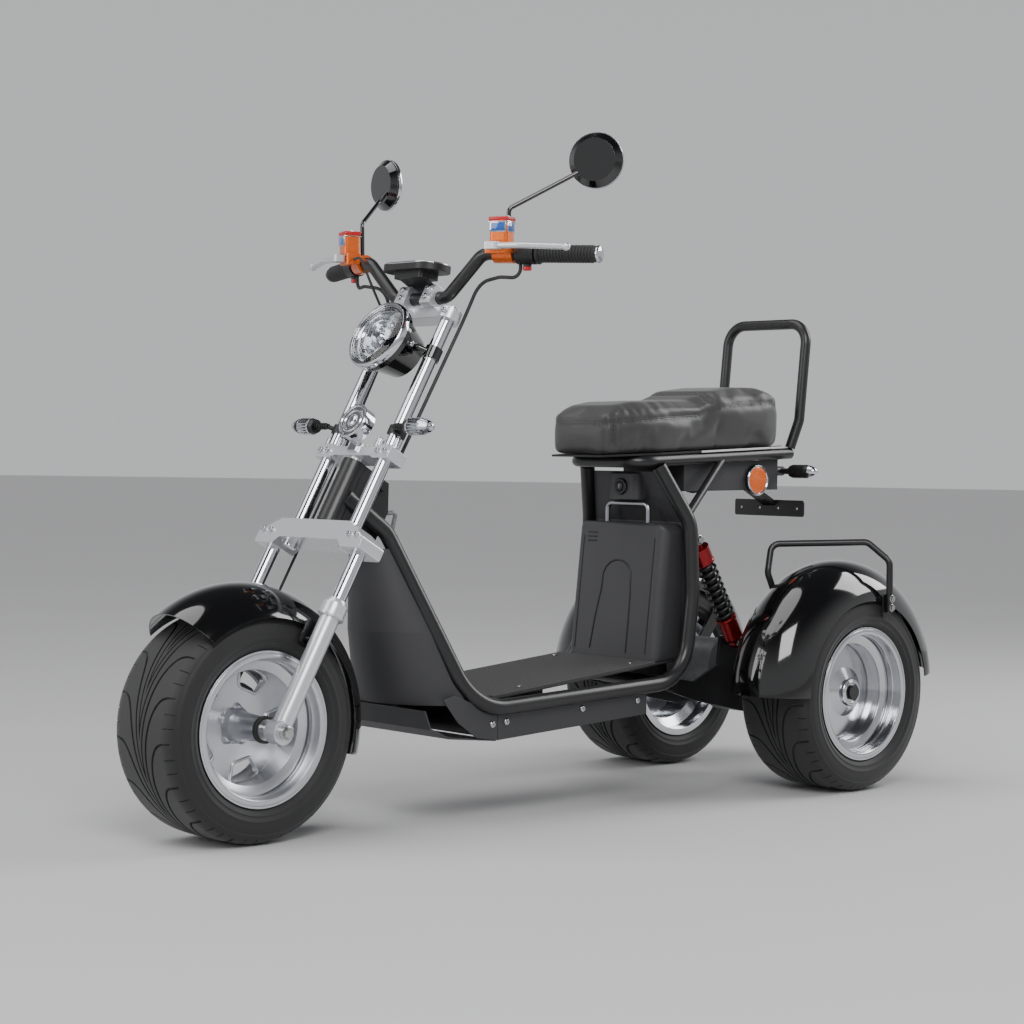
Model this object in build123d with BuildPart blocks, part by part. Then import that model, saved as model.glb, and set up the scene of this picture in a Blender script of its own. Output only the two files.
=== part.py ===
from build123d import *
import os
from math import cos, radians, sin, tan

os.makedirs("parts", exist_ok=True)

# Overall layout, millimetres. Lengths along the vehicle are counted ahead of the rear axle.
WHEELBASE = 1590.0
REAR_TRACK = 606.0
FORK_RAKE = 29.5
FRAME_RISE = 2.3
SEAT_GAP = 0.3
SHAFT_GAP = 0.05

# Tyres and rims
TYRE_RADIUS = 238.5
TYRE_WIDTH = 215.0
TYRE_WALL = 12.0
RIM_RADIUS = 162.0
RIM_WIDTH = 197.0
BEAD_SEAT_RADIUS = 152.0
RIM_WELL_RADIUS = 128.0
RIM_WALL = 6.0
FRONT_AXLE_RADIUS = 8.5
REAR_STUB_RADIUS = 14.0
FRONT_HUB_RADIUS = 31.0
REAR_DISH_DEPTH = 52.0
WINDOW_COUNT = 5
WINDOW_CENTRE_RADIUS = 99.0
WINDOW_OUTER_WIDTH = 68.0
WINDOW_INNER_WIDTH = 48.0
WINDOW_HEIGHT = 42.0
WINDOW_CROWN = 8.0
WINDOW_CORNER = 10.0

# Fork, counted up the fork from the front axle and sideways from the middle
UPPER_TUBE_SIDE = 95.0
LOWER_TUBE_SIDE = 146.0
FORK_TUBE_RADIUS = 15.5
SLIDER_RADIUS = 21.0
SLIDER_COLLAR_RADIUS = 27.0
SLIDER_TOP = 290.0
COLLAR_LENGTH = 30.0
LOWER_YOKE_BOTTOM = 410.0
LOWER_YOKE_TOP = 471.0
MID_YOKE_BOTTOM = 632.0
MID_YOKE_TOP = 665.0
TOP_YOKE_BOTTOM = 985.0
TOP_YOKE_TOP = 1012.0
STEM_RADIUS = 15.0
HEAD_TUBE_RADIUS = 27.0
HEAD_TUBE_CLEARANCE = 5.0
HEADLIGHT_UP = 901.0
HEADLIGHT_AHEAD = 85.0
HEADLIGHT_RADIUS = 80.0
HEADLIGHT_DEPTH = 92.0
HORN_UP = 704.0
HORN_RADIUS = 40.0
HORN_DEPTH = 28.0
SIGNAL_UP = 704.0

# Handlebar and controls
BAR_UP = 1036.0
BAR_AHEAD = 18.0
BAR_RADIUS = 14.0
GRIP_RADIUS = 17.5
GRIP_LENGTH = 135.0
BAR_HALF_WIDTH = 445.0
BAR_RISE_X = 1088.0
BAR_RISE_Z = 1240.0
BAR_RISE_Y = 190.0
BAR_END_X = 994.0
BAR_END_Z = 1232.0

# Frame
RAIL_SIDE = 180.0
RAIL_RADIUS = 18.0
SEAT_RAIL_SIDE = 116.0
SEAT_RAIL_RADIUS = 14.0
FOOTBOARD_THICKNESS = 4.0
MAT_THICKNESS = 5.0
BATTERY_HALF_WIDTH = 145.0
SEAT_HALF_WIDTH = 125.0
HOOP_SIDE = 130.0
HOOP_RADIUS = 13.0

# Fenders
FRONT_FENDER_RADIUS = 298.0
FRONT_FENDER_EDGE_RADIUS = 230.0
REAR_FENDER_RADIUS = 322.0
REAR_FENDER_EDGE_RADIUS = 226.0
FENDER_HALF_WIDTH = 113.0
FENDER_WALL = 3.0
FRONT_FENDER_START = 53.0
FRONT_FENDER_END = 196.0
REAR_FENDER_START = 1.0
REAR_FENDER_END = 172.0
GUARD_RADIUS = 8.0

# Overall reach, which centres the frame of the row on the bounding box
FRONT_REACH = WHEELBASE + TYRE_RADIUS
REAR_REACH = REAR_FENDER_RADIUS * cos(radians(180 - REAR_FENDER_END))
REAR_AXLE_X = -(FRONT_REACH - REAR_REACH) / 2

REAR_WHEEL_SIDE = REAR_TRACK / 2
FRONT_AXLE = Vector(REAR_AXLE_X + WHEELBASE, 0, TYRE_RADIUS)
UP_FORK = Vector(-sin(radians(FORK_RAKE)), 0, cos(radians(FORK_RAKE)))
AHEAD_FORK = Vector(cos(radians(FORK_RAKE)), 0, sin(radians(FORK_RAKE)))


def spot(ahead, left, up):
    """A point ahead of the rear axle, left of the middle and above the ground."""
    return Vector(REAR_AXLE_X + ahead, left, up)


def fork_spot(up, ahead=0.0, left=0.0):
    """A point counted up the fork and ahead of it, from the front axle."""
    return FRONT_AXLE + UP_FORK * up + AHEAD_FORK * ahead + Vector(0, left, 0)


def side_plane(left=0.0):
    """A plane seen from the right, with x ahead of the rear axle and y up from the ground."""
    return Plane(origin=spot(0, left, 0), x_dir=(1, 0, 0), z_dir=(0, -1, 0))


def fork_face(ahead=0.0):
    """A plane across the fork, with x to the left and y up the fork from the axle."""
    return Plane(origin=fork_spot(0, ahead), x_dir=(0, 1, 0), z_dir=AHEAD_FORK)


def fork_side(left=0.0):
    """A plane seen from the right, with x ahead of the fork and y up it from the axle."""
    return Plane(origin=fork_spot(0, 0, left), x_dir=AHEAD_FORK, z_dir=(0, -1, 0))


def fork_slice(up, left=0.0):
    """A plane square to the fork tubes, with x ahead and y to the left."""
    return Plane(origin=fork_spot(up, 0, left), x_dir=AHEAD_FORK, z_dir=UP_FORK)


def sweep_tube(points, bend, radius, mode=Mode.ADD):
    """Adds a round bar along points to the part being built, or cuts its way through it."""
    with BuildLine() as route:
        FilletPolyline(*points, radius=bend)
    with BuildSketch(Plane(origin=route.line @ 0, z_dir=route.line % 0)) as section:
        Circle(radius)
    sweep(sections=section.sketch, path=route.line, mode=mode)


def add_rod(start, end, radius, bore=0.0):
    """Adds a straight round rod, or a tube where a bore is given, between two points."""
    along = end - start
    with BuildSketch(Plane(origin=start, z_dir=along)) as section:
        Circle(radius)
        if bore:
            Circle(bore, mode=Mode.SUBTRACT)
    extrude(section.sketch, amount=along.length)


def cut_rod(start, end, radius):
    """Cuts a straight round hole between two points."""
    along = end - start
    with BuildSketch(Plane(origin=start, z_dir=along)) as section:
        Circle(radius)
    extrude(section.sketch, amount=along.length, mode=Mode.SUBTRACT)


def finish(part, label):
    """Labels a piece and writes its file."""
    part.label = label
    export_step(part, f"parts/{label}.step")


def wheel_plane(centre):
    """A plane through a wheel's axis, with x along the axis and y up."""
    return Plane(origin=centre, x_dir=(0, 1, 0), z_dir=(1, 0, 0))


# The tyre's half section: out from the middle along x, radius along y
SHOULDER_RADIUS = TYRE_RADIUS - 11.0
SHOULDER_SIDE = TYRE_WIDTH / 2 - 10.0
SIDEWALL_RADIUS = 198.0
BEAD_SIDE = RIM_WIDTH / 2 - 7.0
TREAD_SIDE = SHOULDER_SIDE - 32.0
TREAD_EDGE_RADIUS = TYRE_RADIUS - 1.6
TREAD_BEND_SIDE = SHOULDER_SIDE - 14.0
TREAD_BEND_RADIUS = TYRE_RADIUS - 3.5


def add_tyre(centre):
    """Adds one hollow tyre round a wheel centre, bead seat to bead seat."""
    half = TYRE_WIDTH / 2
    seat = BEAD_SEAT_RADIUS + SEAT_GAP
    inner_side = SHOULDER_SIDE - TYRE_WALL
    inner_radius = SHOULDER_RADIUS - TYRE_WALL
    with BuildSketch(wheel_plane(centre)) as section:
        with BuildLine():
            Line((-BEAD_SIDE, seat), (-BEAD_SIDE, RIM_RADIUS + SEAT_GAP))
            Line((-BEAD_SIDE, RIM_RADIUS + SEAT_GAP), (-RIM_WIDTH / 2, RIM_RADIUS + 5))
            ThreePointArc((-RIM_WIDTH / 2, RIM_RADIUS + 5), (-half, SIDEWALL_RADIUS),
                          (-SHOULDER_SIDE, SHOULDER_RADIUS))
            ThreePointArc((-SHOULDER_SIDE, SHOULDER_RADIUS), (-TREAD_BEND_SIDE, TREAD_BEND_RADIUS),
                          (-TREAD_SIDE, TREAD_EDGE_RADIUS))
            ThreePointArc((-TREAD_SIDE, TREAD_EDGE_RADIUS), (0, TYRE_RADIUS), (TREAD_SIDE, TREAD_EDGE_RADIUS))
            ThreePointArc((TREAD_SIDE, TREAD_EDGE_RADIUS), (TREAD_BEND_SIDE, TREAD_BEND_RADIUS),
                          (SHOULDER_SIDE, SHOULDER_RADIUS))
            ThreePointArc((SHOULDER_SIDE, SHOULDER_RADIUS), (half, SIDEWALL_RADIUS),
                          (RIM_WIDTH / 2, RIM_RADIUS + 5))
            Line((RIM_WIDTH / 2, RIM_RADIUS + 5), (BEAD_SIDE, RIM_RADIUS + SEAT_GAP))
            Polyline((BEAD_SIDE, RIM_RADIUS + SEAT_GAP), (BEAD_SIDE, seat), (BEAD_SIDE - TYRE_WALL, seat),
                     (half - TYRE_WALL, SIDEWALL_RADIUS), (inner_side, inner_radius),
                     (-inner_side, inner_radius), (-half + TYRE_WALL, SIDEWALL_RADIUS),
                     (-BEAD_SIDE + TYRE_WALL, seat), (-BEAD_SIDE, seat))
        make_face()
    revolve(section.sketch, axis=Axis(centre, (0, 1, 0)))


def add_barrel(centre):
    """Adds a rim's barrel with its two flanges and its well."""
    edge = RIM_WIDTH / 2
    seat_side = edge - 6.5
    outer = [(edge, RIM_RADIUS), (seat_side, RIM_RADIUS), (seat_side, BEAD_SEAT_RADIUS),
             (60, BEAD_SEAT_RADIUS), (48, RIM_WELL_RADIUS)]
    inner = [(46, RIM_WELL_RADIUS - RIM_WALL), (58, BEAD_SEAT_RADIUS - RIM_WALL),
             (edge, BEAD_SEAT_RADIUS - RIM_WALL)]
    left_side = [(-x, r) for x, r in reversed(outer)] + [(-x, r) for x, r in reversed(inner)]
    with BuildSketch(wheel_plane(centre)) as section:
        with BuildLine():
            Polyline(*outer, *left_side, *inner, close=True)
        make_face()
    revolve(section.sketch, axis=Axis(centre, (0, 1, 0)))


def add_turned(centre, outline):
    """Adds a solid turned about a wheel's axis from (side, radius) points."""
    with BuildSketch(wheel_plane(centre)) as section:
        with BuildLine():
            Polyline(*outline, close=True)
        make_face()
    revolve(section.sketch, axis=Axis(centre, (0, 1, 0)))


# Front wheel
FRONT_DISC_SIDE = -10.0
DISC_THICKNESS = 12.0
HUB_HALF = 104.0

with BuildPart() as front_tyre:
    add_tyre(FRONT_AXLE)
finish(front_tyre.part, "front_tyre")

with BuildPart() as front_rim:
    add_barrel(FRONT_AXLE)
    face = FRONT_DISC_SIDE + DISC_THICKNESS / 2
    back = FRONT_DISC_SIDE - DISC_THICKNESS / 2
    add_turned(FRONT_AXLE, [(face, FRONT_AXLE_RADIUS + SHAFT_GAP), (face, RIM_WELL_RADIUS - 3),
                            (back, RIM_WELL_RADIUS - 3), (back, FRONT_AXLE_RADIUS + SHAFT_GAP)])
    add_turned(FRONT_AXLE, [(-HUB_HALF, FRONT_AXLE_RADIUS + SHAFT_GAP), (-HUB_HALF, FRONT_HUB_RADIUS - 6),
                            (back - 16, FRONT_HUB_RADIUS), (back - 4, FRONT_HUB_RADIUS + 8),
                            (face + 4, FRONT_HUB_RADIUS + 8), (face + 16, FRONT_HUB_RADIUS),
                            (HUB_HALF, FRONT_HUB_RADIUS - 6), (HUB_HALF, FRONT_AXLE_RADIUS + SHAFT_GAP)])
    with BuildSketch(Plane(origin=FRONT_AXLE + Vector(0, back - 1, 0), x_dir=(-1, 0, 0),
                           z_dir=(0, 1, 0))) as windows:
        with PolarLocations(WINDOW_CENTRE_RADIUS, WINDOW_COUNT, start_angle=67):
            with BuildSketch(mode=Mode.PRIVATE) as window:
                outer = WINDOW_HEIGHT / 2 - WINDOW_CROWN
                with BuildLine():
                    ThreePointArc((outer, -WINDOW_OUTER_WIDTH / 2), (WINDOW_HEIGHT / 2, 0),
                                  (outer, WINDOW_OUTER_WIDTH / 2))
                    Polyline((outer, WINDOW_OUTER_WIDTH / 2), (-WINDOW_HEIGHT / 2, WINDOW_INNER_WIDTH / 2),
                             (-WINDOW_HEIGHT / 2, -WINDOW_INNER_WIDTH / 2), (outer, -WINDOW_OUTER_WIDTH / 2))
                make_face()
                fillet(window.vertices(), WINDOW_CORNER)
            add(window.sketch)
    extrude(windows.sketch, amount=DISC_THICKNESS + 2, mode=Mode.SUBTRACT)
finish(front_rim.part, "front_rim")

BRAKE_DISC_RADIUS = 90.0
BRAKE_DISC_SIDE = -98.0
with BuildPart() as front_brake_disc:
    disc_bore = FRONT_HUB_RADIUS - 5.2
    add_turned(FRONT_AXLE, [(BRAKE_DISC_SIDE - 2, disc_bore + 0.6), (BRAKE_DISC_SIDE - 2, BRAKE_DISC_RADIUS),
                            (BRAKE_DISC_SIDE + 2, BRAKE_DISC_RADIUS), (BRAKE_DISC_SIDE + 2, disc_bore + 0.6)])
    with BuildSketch(Plane(origin=FRONT_AXLE + Vector(0, BRAKE_DISC_SIDE - 3, 0), x_dir=(1, 0, 0),
                           z_dir=(0, 1, 0))) as vents:
        with PolarLocations(BRAKE_DISC_RADIUS * 0.56, 6):
            Circle(13)
    extrude(vents.sketch, amount=6, mode=Mode.SUBTRACT)
finish(front_brake_disc.part, "front_brake_disc")

# Rear wheels: a plain dish set in from the outer lip
for name, way in (("left", 1), ("right", -1)):
    hub = spot(0, way * REAR_WHEEL_SIDE, TYRE_RADIUS)
    with BuildPart() as rear_tyre:
        add_tyre(hub)
    finish(rear_tyre.part, f"rear_{name}_tyre")

    with BuildPart() as rear_rim:
        add_barrel(hub)
        bore = REAR_STUB_RADIUS + SHAFT_GAP
        dish = [(REAR_DISH_DEPTH - 14, bore), (REAR_DISH_DEPTH + 4, bore), (REAR_DISH_DEPTH + 4, 22),
                (REAR_DISH_DEPTH - 2, 26), (REAR_DISH_DEPTH - 16, 60),
                (REAR_DISH_DEPTH - 22, RIM_WELL_RADIUS - 3), (REAR_DISH_DEPTH - 30, RIM_WELL_RADIUS - 3),
                (REAR_DISH_DEPTH - 26, 60), (REAR_DISH_DEPTH - 14, 30)]
        add_turned(hub, [(way * x, r) for x, r in dish])
        back_hub = [(-52, bore), (REAR_DISH_DEPTH - 12, bore), (REAR_DISH_DEPTH - 12, 32), (-52, 26)]
        add_turned(hub, [(way * x, r) for x, r in back_hub])
    finish(rear_rim.part, f"rear_{name}_rim")

# Front axle and fork legs
AXLE_HALF = 164.0
AXLE_NUT_RADIUS = 13.0
SPACER_RADIUS = 12.0
SPACER_END = 128.0


def axle_spot(left):
    """A point on the front axle's middle line."""
    return FRONT_AXLE + Vector(0, left, 0)


with BuildPart() as front_axle:
    add_rod(axle_spot(-AXLE_HALF - 6), axle_spot(AXLE_HALF + 6), FRONT_AXLE_RADIUS)
    for way in (1, -1):
        add_rod(axle_spot(way * (AXLE_HALF - 1)), axle_spot(way * (AXLE_HALF + 8)), AXLE_NUT_RADIUS)
        add_rod(axle_spot(way * (HUB_HALF + 1)), axle_spot(way * SPACER_END), SPACER_RADIUS)
finish(front_axle.part, "front_axle")

SLIDER_SEAT = 60.0
SLIDER_BOTTOM = 16.0
AXLE_BOSS_RADIUS = 25.0
LOWER_TUBE_END = LOWER_YOKE_TOP - 26.0
with BuildPart() as fork_sliders:
    collar = fork_spot(SLIDER_TOP - COLLAR_LENGTH, 0, LOWER_TUBE_SIDE)
    add_rod(fork_spot(SLIDER_BOTTOM, 0, LOWER_TUBE_SIDE), collar, SLIDER_RADIUS)
    add_rod(collar, fork_spot(SLIDER_TOP, 0, LOWER_TUBE_SIDE), SLIDER_COLLAR_RADIUS)
    add_rod(axle_spot(SPACER_END + 0.5), axle_spot(AXLE_HALF - 1.3), AXLE_BOSS_RADIUS)
    cut_rod(axle_spot(SPACER_END - 8), axle_spot(AXLE_HALF + 16), FRONT_AXLE_RADIUS + SEAT_GAP)
    cut_rod(fork_spot(SLIDER_SEAT, 0, LOWER_TUBE_SIDE), fork_spot(SLIDER_TOP + 1, 0, LOWER_TUBE_SIDE),
            FORK_TUBE_RADIUS + SEAT_GAP)
    mirror(about=Plane.XZ)
finish(fork_sliders.part, "fork_sliders")

with BuildPart() as fork_tubes:
    for side, start, end in ((LOWER_TUBE_SIDE, SLIDER_SEAT + SEAT_GAP, LOWER_TUBE_END),
                             (UPPER_TUBE_SIDE, LOWER_YOKE_BOTTOM + 6, TOP_YOKE_TOP + 6)):
        add_rod(fork_spot(start, 0, side), fork_spot(end, 0, side), FORK_TUBE_RADIUS)
    mirror(about=Plane.XZ)
finish(fork_tubes.part, "fork_tubes")

YOKE_BACK = -34.0
YOKE_FRONT = 32.0
with BuildPart() as lower_yoke:
    with BuildSketch(fork_face(YOKE_FRONT)) as outline:
        with BuildLine():
            Polyline((-116, LOWER_YOKE_TOP), (116, LOWER_YOKE_TOP), (178, LOWER_YOKE_TOP - 34),
                     (178, LOWER_YOKE_BOTTOM), (116, LOWER_YOKE_BOTTOM), (100, LOWER_YOKE_BOTTOM + 16),
                     (-100, LOWER_YOKE_BOTTOM + 16), (-116, LOWER_YOKE_BOTTOM), (-178, LOWER_YOKE_BOTTOM),
                     (-178, LOWER_YOKE_TOP - 34), close=True)
        make_face()
        fillet(outline.vertices(), 5)
    extrude(outline.sketch, amount=YOKE_BACK - YOKE_FRONT)
    for way in (1, -1):
        cut_rod(fork_spot(LOWER_YOKE_BOTTOM - 5, 0, way * LOWER_TUBE_SIDE),
                fork_spot(LOWER_TUBE_END + SEAT_GAP, 0, way * LOWER_TUBE_SIDE), FORK_TUBE_RADIUS + SEAT_GAP)
        cut_rod(fork_spot(LOWER_YOKE_BOTTOM + 5.7, 0, way * UPPER_TUBE_SIDE),
                fork_spot(LOWER_YOKE_TOP + 5, 0, way * UPPER_TUBE_SIDE), FORK_TUBE_RADIUS + SEAT_GAP)
    add_rod(fork_spot(LOWER_YOKE_TOP - 1), fork_spot(MID_YOKE_TOP + 6), STEM_RADIUS)
finish(lower_yoke.part, "lower_yoke")

with BuildPart() as mid_yoke:
    with BuildSketch(fork_face(18)) as outline:
        with BuildLine():
            Polyline((-122, MID_YOKE_TOP - 4), (-114, MID_YOKE_TOP), (-76, MID_YOKE_TOP),
                     (-62, MID_YOKE_TOP - 6), (62, MID_YOKE_TOP - 6), (76, MID_YOKE_TOP),
                     (114, MID_YOKE_TOP), (122, MID_YOKE_TOP - 4),
                     (122, MID_YOKE_BOTTOM), (72, MID_YOKE_BOTTOM), (62, MID_YOKE_BOTTOM + 5),
                     (-62, MID_YOKE_BOTTOM + 5), (-72, MID_YOKE_BOTTOM), (-122, MID_YOKE_BOTTOM), close=True)
        make_face()
    extrude(outline.sketch, amount=-48)
    for way in (1, -1):
        cut_rod(fork_spot(MID_YOKE_BOTTOM - 5, 0, way * UPPER_TUBE_SIDE),
                fork_spot(MID_YOKE_TOP + 5, 0, way * UPPER_TUBE_SIDE), FORK_TUBE_RADIUS + SEAT_GAP)
    cut_rod(fork_spot(MID_YOKE_BOTTOM - 5), fork_spot(MID_YOKE_TOP + 5), STEM_RADIUS + SEAT_GAP)
finish(mid_yoke.part, "mid_yoke")

BAR_CENTRE = fork_spot(BAR_UP, BAR_AHEAD)
RISER_SIDE = 48.0
RISER_DROP = 2.0
RISER_TOP = BAR_UP + RISER_SIDE / 2 - RISER_DROP
with BuildPart() as top_yoke:
    with BuildSketch(fork_slice(TOP_YOKE_BOTTOM)) as outline:
        with Locations((0, UPPER_TUBE_SIDE), (0, -UPPER_TUBE_SIDE)):
            Circle(FORK_TUBE_RADIUS + 10)
        with Locations((3, 0)):
            Rectangle(34, 2 * UPPER_TUBE_SIDE)
    extrude(outline.sketch, amount=TOP_YOKE_TOP - TOP_YOKE_BOTTOM)
    for way in (1, -1):
        with BuildSketch(Plane(origin=BAR_CENTRE + Vector(0, way * 26, 0), x_dir=AHEAD_FORK,
                               z_dir=(0, way, 0))) as riser:
            with Locations((0, way * RISER_DROP)):
                RectangleRounded(RISER_SIDE, RISER_SIDE, 6)
        extrude(riser.sketch, amount=34)
    for way in (1, -1):
        cut_rod(fork_spot(TOP_YOKE_BOTTOM - 5, 0, way * UPPER_TUBE_SIDE),
                fork_spot(TOP_YOKE_TOP + 20, 0, way * UPPER_TUBE_SIDE), FORK_TUBE_RADIUS + SEAT_GAP)
    cut_rod(BAR_CENTRE - Vector(0, 80, 0), BAR_CENTRE + Vector(0, 80, 0), BAR_RADIUS + SEAT_GAP)
finish(top_yoke.part, "top_yoke")

# Handlebar: one bent tube, drawn for one side and mirrored
BAR_RISE = spot(BAR_RISE_X, BAR_RISE_Y, BAR_RISE_Z)
BAR_END = spot(BAR_END_X, BAR_HALF_WIDTH - 6, BAR_END_Z)
with BuildPart() as handlebar:
    sweep_tube([BAR_CENTRE, BAR_CENTRE + Vector(0, 84, 0), BAR_RISE, BAR_END], 45, BAR_RADIUS)
    mirror(about=Plane.XZ)
finish(handlebar.part, "handlebar")

GRIP_WAY = (BAR_END - BAR_RISE).normalized()


def along_grip(inboard):
    """A point on the left handlebar end's middle line, counted inboard from its tip."""
    return BAR_END - GRIP_WAY * inboard


with BuildPart() as grips:
    add_rod(along_grip(GRIP_LENGTH), along_grip(-6), GRIP_RADIUS)
    cut_rod(along_grip(GRIP_LENGTH + 1), along_grip(-0.3), BAR_RADIUS + SEAT_GAP)
    mirror(about=Plane.XZ)
finish(grips.part, "grips")

UP = Vector(0, 0, 1)
GRIP_AHEAD = UP.cross(GRIP_WAY) * -1
POD_RADIUS = 23.0
with BuildPart() as switch_pods:
    add_rod(along_grip(182), along_grip(GRIP_LENGTH + 4), POD_RADIUS)
    with BuildSketch(Plane(origin=along_grip(160) - UP * (POD_RADIUS - 1), z_dir=(0, 0, -1))) as button:
        Circle(9)
    extrude(button.sketch, amount=10)
    cut_rod(along_grip(190), along_grip(GRIP_LENGTH), BAR_RADIUS + SEAT_GAP)
    mirror(about=Plane.XZ)
finish(switch_pods.part, "switch_pods")

CLAMP_IN = 236.0
CLAMP_OUT = 190.0
CYLINDER_MIDDLE = (CLAMP_IN + CLAMP_OUT) / 2
with BuildPart() as master_cylinders:
    add_rod(along_grip(CLAMP_IN), along_grip(CLAMP_OUT), 21)
    block = along_grip(CYLINDER_MIDDLE) + GRIP_AHEAD * 30 + UP * 14
    with BuildSketch(Plane(origin=block - UP * 16, x_dir=GRIP_WAY, z_dir=UP)) as base:
        RectangleRounded(56, 34, 5)
    extrude(base.sketch, amount=26)
    with BuildSketch(Plane(origin=block + UP * 10, x_dir=GRIP_WAY, z_dir=UP)) as tank:
        with Locations((6, 0)):
            RectangleRounded(44, 38, 8)
    extrude(tank.sketch, amount=46)
    cut_rod(along_grip(CLAMP_IN + 10), along_grip(CLAMP_OUT - 10), BAR_RADIUS + SEAT_GAP)
    mirror(about=Plane.XZ)
finish(master_cylinders.part, "master_cylinders")

with BuildPart() as brake_levers:
    pivot = along_grip(214) + GRIP_AHEAD * (60 + SEAT_GAP) + UP * 12
    tip = along_grip(40) + GRIP_AHEAD * 64 + UP * 10
    sweep_tube([pivot, along_grip(150) + GRIP_AHEAD * 72 + UP * 12, tip], 60, 6.5)
    with Locations(tip):
        Sphere(9)
    with BuildSketch(Plane(origin=pivot - UP * 8, x_dir=GRIP_WAY, z_dir=UP)) as root:
        RectangleRounded(34, 26, 6)
    extrude(root.sketch, amount=16)
    mirror(about=Plane.XZ)
finish(brake_levers.part, "brake_levers")

MIRROR_RADIUS = 60.0
MIRROR_TURN = {1: 30.0, -1: 10.0}
with BuildPart() as mirrors:
    for way in (1, -1):
        base = along_grip(206)
        clamp = Vector(base.X, way * base.Y, base.Z)
        foot = clamp + Vector(0, 0, 21.3)
        knee = clamp + Vector(0, 0, 96)
        ball = spot(925, way * 330, 1425)
        sweep_tube([foot + Vector(-2, 0, 0), knee, ball], 14, 5)
        turn = radians(MIRROR_TURN[way])
        facing = Vector(cos(turn), way * sin(turn), 0)
        hub = ball + Vector(-14, way * 22, 20)
        with BuildSketch(Plane(origin=hub - facing * 10, z_dir=facing)) as rim:
            Circle(MIRROR_RADIUS)
        extrude(rim.sketch, amount=9)
        with BuildSketch(Plane(origin=hub - facing * 1.5, z_dir=facing)) as shell:
            Circle(MIRROR_RADIUS - 1)
        extrude(shell.sketch, amount=14, taper=42)
finish(mirrors.part, "mirrors")

# Instrument, headlight, horn and signals
with BuildPart() as display:
    with BuildSketch(Plane(origin=spot(1112, 0, 1206), x_dir=(0, 1, 0), z_dir=(-0.12, 0, 1))) as face:
        RectangleRounded(176, 92, 44)
    extrude(face.sketch, amount=15)
    with BuildSketch(Plane(origin=spot(1112, 0, 1206), x_dir=(0, 1, 0), z_dir=(0.12, 0, -1))) as foot:
        RectangleRounded(96, 56, 10)
    extrude(foot.sketch, amount=16)
    with BuildSketch(fork_slice(RISER_TOP + SEAT_GAP)) as strap:
        with Locations((32, 0)):
            Rectangle(68, 84)
    extrude(strap.sketch, amount=4)
finish(display.part, "display")

LENS_DEPTH = 14.0
LENS_SEAT_RADIUS = HEADLIGHT_RADIUS - 10.0
with BuildPart() as headlight_shell:
    rim_face = HEADLIGHT_AHEAD
    add_rod(fork_spot(HEADLIGHT_UP, rim_face - 22), fork_spot(HEADLIGHT_UP, rim_face), HEADLIGHT_RADIUS)
    with BuildSketch(Plane(origin=fork_spot(HEADLIGHT_UP, rim_face - 22), x_dir=(0, 1, 0),
                           z_dir=AHEAD_FORK * -1)) as bowl:
        Circle(HEADLIGHT_RADIUS - 7)
    extrude(bowl.sketch, amount=HEADLIGHT_DEPTH - 22, taper=16)
    cut_rod(fork_spot(HEADLIGHT_UP, rim_face - LENS_DEPTH), fork_spot(HEADLIGHT_UP, rim_face + 1),
            LENS_SEAT_RADIUS)
    for way in (1, -1):
        add_rod(fork_spot(HEADLIGHT_UP, 30, way * 60), fork_spot(HEADLIGHT_UP, 30, way * 84), 8)
        add_rod(fork_spot(HEADLIGHT_UP, 30, way * 80), fork_spot(HEADLIGHT_UP, 12, way * UPPER_TUBE_SIDE), 6)
        add_rod(fork_spot(HEADLIGHT_UP - 14, 0, way * UPPER_TUBE_SIDE),
                fork_spot(HEADLIGHT_UP + 14, 0, way * UPPER_TUBE_SIDE), FORK_TUBE_RADIUS + 4)
    for way in (1, -1):
        cut_rod(fork_spot(HEADLIGHT_UP - 20, 0, way * UPPER_TUBE_SIDE),
                fork_spot(HEADLIGHT_UP + 20, 0, way * UPPER_TUBE_SIDE), FORK_TUBE_RADIUS + SEAT_GAP)
finish(headlight_shell.part, "headlight_shell")

with BuildPart() as headlight_lens:
    add_rod(fork_spot(HEADLIGHT_UP, HEADLIGHT_AHEAD - LENS_DEPTH + SEAT_GAP),
            fork_spot(HEADLIGHT_UP, HEADLIGHT_AHEAD - 3), LENS_SEAT_RADIUS - SEAT_GAP)
finish(headlight_lens.part, "headlight_lens")

with BuildPart() as horn:
    add_rod(fork_spot(HORN_UP, 24), fork_spot(HORN_UP, 24 + HORN_DEPTH), HORN_RADIUS)
    with BuildSketch(fork_face(18 + SEAT_GAP)) as strip:
        with Locations((0, (MID_YOKE_BOTTOM + HORN_UP) / 2 + 10)):
            Rectangle(26, HORN_UP - MID_YOKE_BOTTOM - 8)
    extrude(strip.sketch, amount=6)
finish(horn.part, "horn")

# A signal lamp's outline: (out from its root, radius)
SIGNAL_OUTLINE = [(0, 0), (0, 6), (42, 6), (42, 15), (50, 17), (92, 17), (118, 9), (122, 0)]


def add_signal(root, way):
    """Adds a bullet-shaped signal lamp with its stalk, pointing left for 1 and right for -1."""
    with BuildSketch(Plane(origin=root, x_dir=(0, way, 0), z_dir=(way, 0, 0))) as section:
        with BuildLine():
            Polyline(*SIGNAL_OUTLINE, close=True)
        make_face()
    revolve(section.sketch, axis=Axis(root, (0, 1, 0)))


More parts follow.
